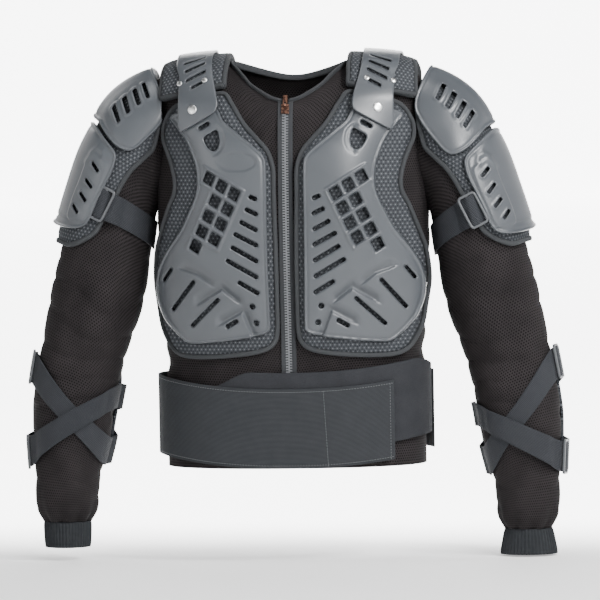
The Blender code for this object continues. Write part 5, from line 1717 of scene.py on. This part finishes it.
def make_teeth():
    """The zip's teeth: a row of tapered blocks from each tape, half a pitch apart."""
    top = ZIP_TOP_DROP + 0.012
    count = int((BODY_DROP - 0.004 - top) / TOOTH_PITCH)
    line, normal = chest_line(top, BODY_DROP - 0.005, CHAIN_THICK * 0.5, count)
    way = tangents(line, False)
    shape, faces = wedge((-0.0050, TOOTH_PITCH * 0.30, CHAIN_THICK * 0.48), 0.80)
    made = []
    for sign, first in ((1.0, 0), (-1.0, 1)):
        across = np.repeat(np.array([[sign, 0, 0]]), count, 0)
        frames = np.stack([across, way * sign, normal], axis=-1)
        places = line + across * 0.0041 + way * (TOOTH_PITCH / 2 * first)
        made.append(copies(shape, faces, places, frames))
    points = np.concatenate([part[0] for part in made])
    faces = np.concatenate([made[0][1], made[1][1] + len(made[0][0])])
    teeth = add_piece("zip_teeth_row", points, faces, points[faces][..., [0, 2]], "zip_teeth")
    reshape(teeth, lambda work: bmesh.ops.recalc_face_normals(work, faces=work.faces))
    teeth.data.shade_flat()
    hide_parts("zip_chain")


def stitch_line(name, path, normals):
    """Stitches along a line: small raised blocks with gaps between them."""
    run = np.linalg.norm(np.diff(path, axis=0), axis=1).sum()
    count = max(int(run / STITCH_PITCH), 2)
    spots, out = evenly(path, count), evenly(normals, count)
    way = tangents(spots, False)
    out = unit(out)
    frames = np.stack([way, np.cross(out, way), out], axis=-1)
    shape, faces = wedge((STITCH_PITCH * 0.62, 0.00035, 0.00032), 0.9)
    points, faces = copies(shape, faces, spots, frames)
    return add_piece(name, points, faces, points[faces][..., [0, 2]], "thread")


def lathe(name, radii, heights, point, out, finish, count=40):
    """A turned shape: its radius and height along the profile, round the outward direction."""
    across = unit(np.cross(out, (0.0, 0.3, 1.0)))
    up = np.cross(out, across)
    turn = np.linspace(0, 2 * math.pi, count, endpoint=False)[None, :, None]
    ring = np.cos(turn) * across + np.sin(turn) * up
    grid = point + ring * radii[:, None, None] + out * heights[:, None, None]
    obj = grid_piece(name, grid, finish, point + out * heights.max() / 2, loop_across=True)
    reshape(obj, fill_ends)
    return obj


def on_strap(side, point, out):
    """The strap plate's nearest grid point to a place, and its outward direction there."""
    grid = strap_grid(side)
    gap = np.linalg.norm(grid - point, axis=-1)
    row, column = np.unravel_index(gap.argmin(), gap.shape)
    row, column = np.clip(row, 1, grid.shape[0] - 2), np.clip(column, 1, grid.shape[1] - 2)
    down = grid[row + 1, column] - grid[row - 1, column]
    across = grid[row, column + 1] - grid[row, column - 1]
    normal = unit(np.cross(down, across))
    normal *= -1 if normal.dot(out) < 0 else 1
    return grid[row, column] + normal * 0.0001, normal


def make_rivets(side):
    for name, x, drop, radius in RIVETS:
        lift = strap_lift(drop, 0.0) + PLATE + 0.0001
        spot = np.array([[x, drop]])
        point = chest_place(side, spot, lift)[0]
        out = chest_place(side, spot, lift + 0.004)[0] - point
        radii, heights = np.array(RIVET_DOME).T * np.array([[radius], [RIVET_HEIGHT]])
        piece = lathe("strap_%s_head_%s" % (name, side), radii, heights,
                      *on_strap(side, point, out), "rivet")
        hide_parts("strap_%s_%s" % (name, side))


# Studio

BOWL_RADIUS = 12.5


def make_studio():
    """A pale floor that curves up to a wall all round, beyond the camera."""
    curve = np.linspace(0, math.pi / 2, 16)
    radii = np.array([0.001, 0.6, 2.0, 5.0, *(BOWL_RADIUS + 2.0 * np.sin(curve)), BOWL_RADIUS + 2])
    heights = np.array([0.0] * 4 + [*(2.0 * (1 - np.cos(curve))), 9.0])
    turns = np.linspace(0, 2 * math.pi, 96, endpoint=False)
    points = vectors(radii[:, None] * np.cos(turns), radii[:, None] * np.sin(turns),
                     heights[:, None] + CAD_BOX[0][2] - 0.002)
    faces, _ = grid_corners(*points.shape[:2], False, True)
    mesh = bpy.data.meshes.new("studio_floor")
    mesh.from_pydata(points.reshape(-1, 3).tolist(), [], faces.tolist())
    mesh.shade_smooth()
    floor = add_object("studio_floor", mesh)
    paint = Paint("studio_paper")
    x, y, _ = paint.parts(paint.place())
    beside, before = paint.math("ABSOLUTE", x), paint.math("ABSOLUTE", y)
    wide = paint.math("MULTIPLY_ADD", y, 0.14, 0.6)
    behind = paint.between(y, -0.1, 0.6) * (1.0 - paint.between(beside - wide, 0.0, 0.8))
    far = paint.math("MAXIMUM", paint.between(beside, 1.2, 3.0), paint.between(before, 1.2, 3.0))
    round_glow = paint.mix(far, (0.04, 0.04, 0.04), (0.06, 0.06, 0.06))
    glow = paint.mix(behind, round_glow, (1.0, 1.0, 1.0))
    mesh.materials.append(paint.finish((0.90, 0.90, 0.90, 1.0), 0.9, emission_color=glow,
                                       emission_strength=6.0))


def add_light(name, place, aim, size, power):
    light = bpy.data.lights.new(name, "AREA")
    light.shape = "DISK"
    light.size = size
    light.energy = power
    obj = add_object(name, light)
    obj.location = place
    obj.rotation_euler = (Vector(aim) - Vector(place)).to_track_quat("-Z", "Y").to_euler()


def make_camera():
    turn, up = math.radians(5.0), math.radians(3.0)
    away = Vector((math.sin(turn) * math.cos(up), -math.cos(turn) * math.cos(up), math.sin(up)))
    lens = bpy.data.cameras.new("camera")
    lens.lens = 408.0
    lens.sensor_width = 36.0
    camera = add_object("camera", lens)
    camera.location = Vector((0.0066, 0.0, -0.314)) + away * 9.0
    camera.rotation_euler = (-away).to_track_quat("-Z", "Y").to_euler()
    camera.rotation_euler.rotate_axis("Z", math.radians(-1.0))
    bpy.context.scene.camera = camera


make_camera()
make_studio()
add_light("key", (1.9, -1.5, 2.0), (0, 0, -0.3), 0.9, 105)
add_light("sheen", (1.4, -2.3, 1.0), (0.1, 0, -0.2), 0.7, 66)
add_light("fill", (-2.3, -2.0, 0.4), (0, 0, -0.3), 1.2, 10)
add_light("top", (-0.2, -0.4, 2.4), (0, 0, -0.3), 1.2, 18)
add_light("rim", (-1.6, 1.8, 1.4), (0, 0, -0.2), 1.2, 14)
world = bpy.data.worlds.new("studio_air")
world.use_nodes = True
air = world.node_tree.nodes["Background"].inputs
air["Color"].default_value = (0.94, 0.97, 1.0, 1.0)
air["Strength"].default_value = 0.05
bpy.context.scene.world = world

make_torso()
make_belts()
make_belt_stitches()
make_tapes()
make_teeth()
for side_name in SIDES:
    for make in (make_chest_pad, make_chest_plate, make_shoulder_pad, make_strap, make_rivets,
                 make_sleeve, make_cuff, make_arm_pad, make_cap, make_arm_plate, make_arm_strap,
                 make_forearm):
        make(side_name)

for node in ("zip_slider", "zip_pull"):
    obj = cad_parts[node]
    obj.data.materials.clear()
    obj.data.materials.append(FINISHES["copper"])
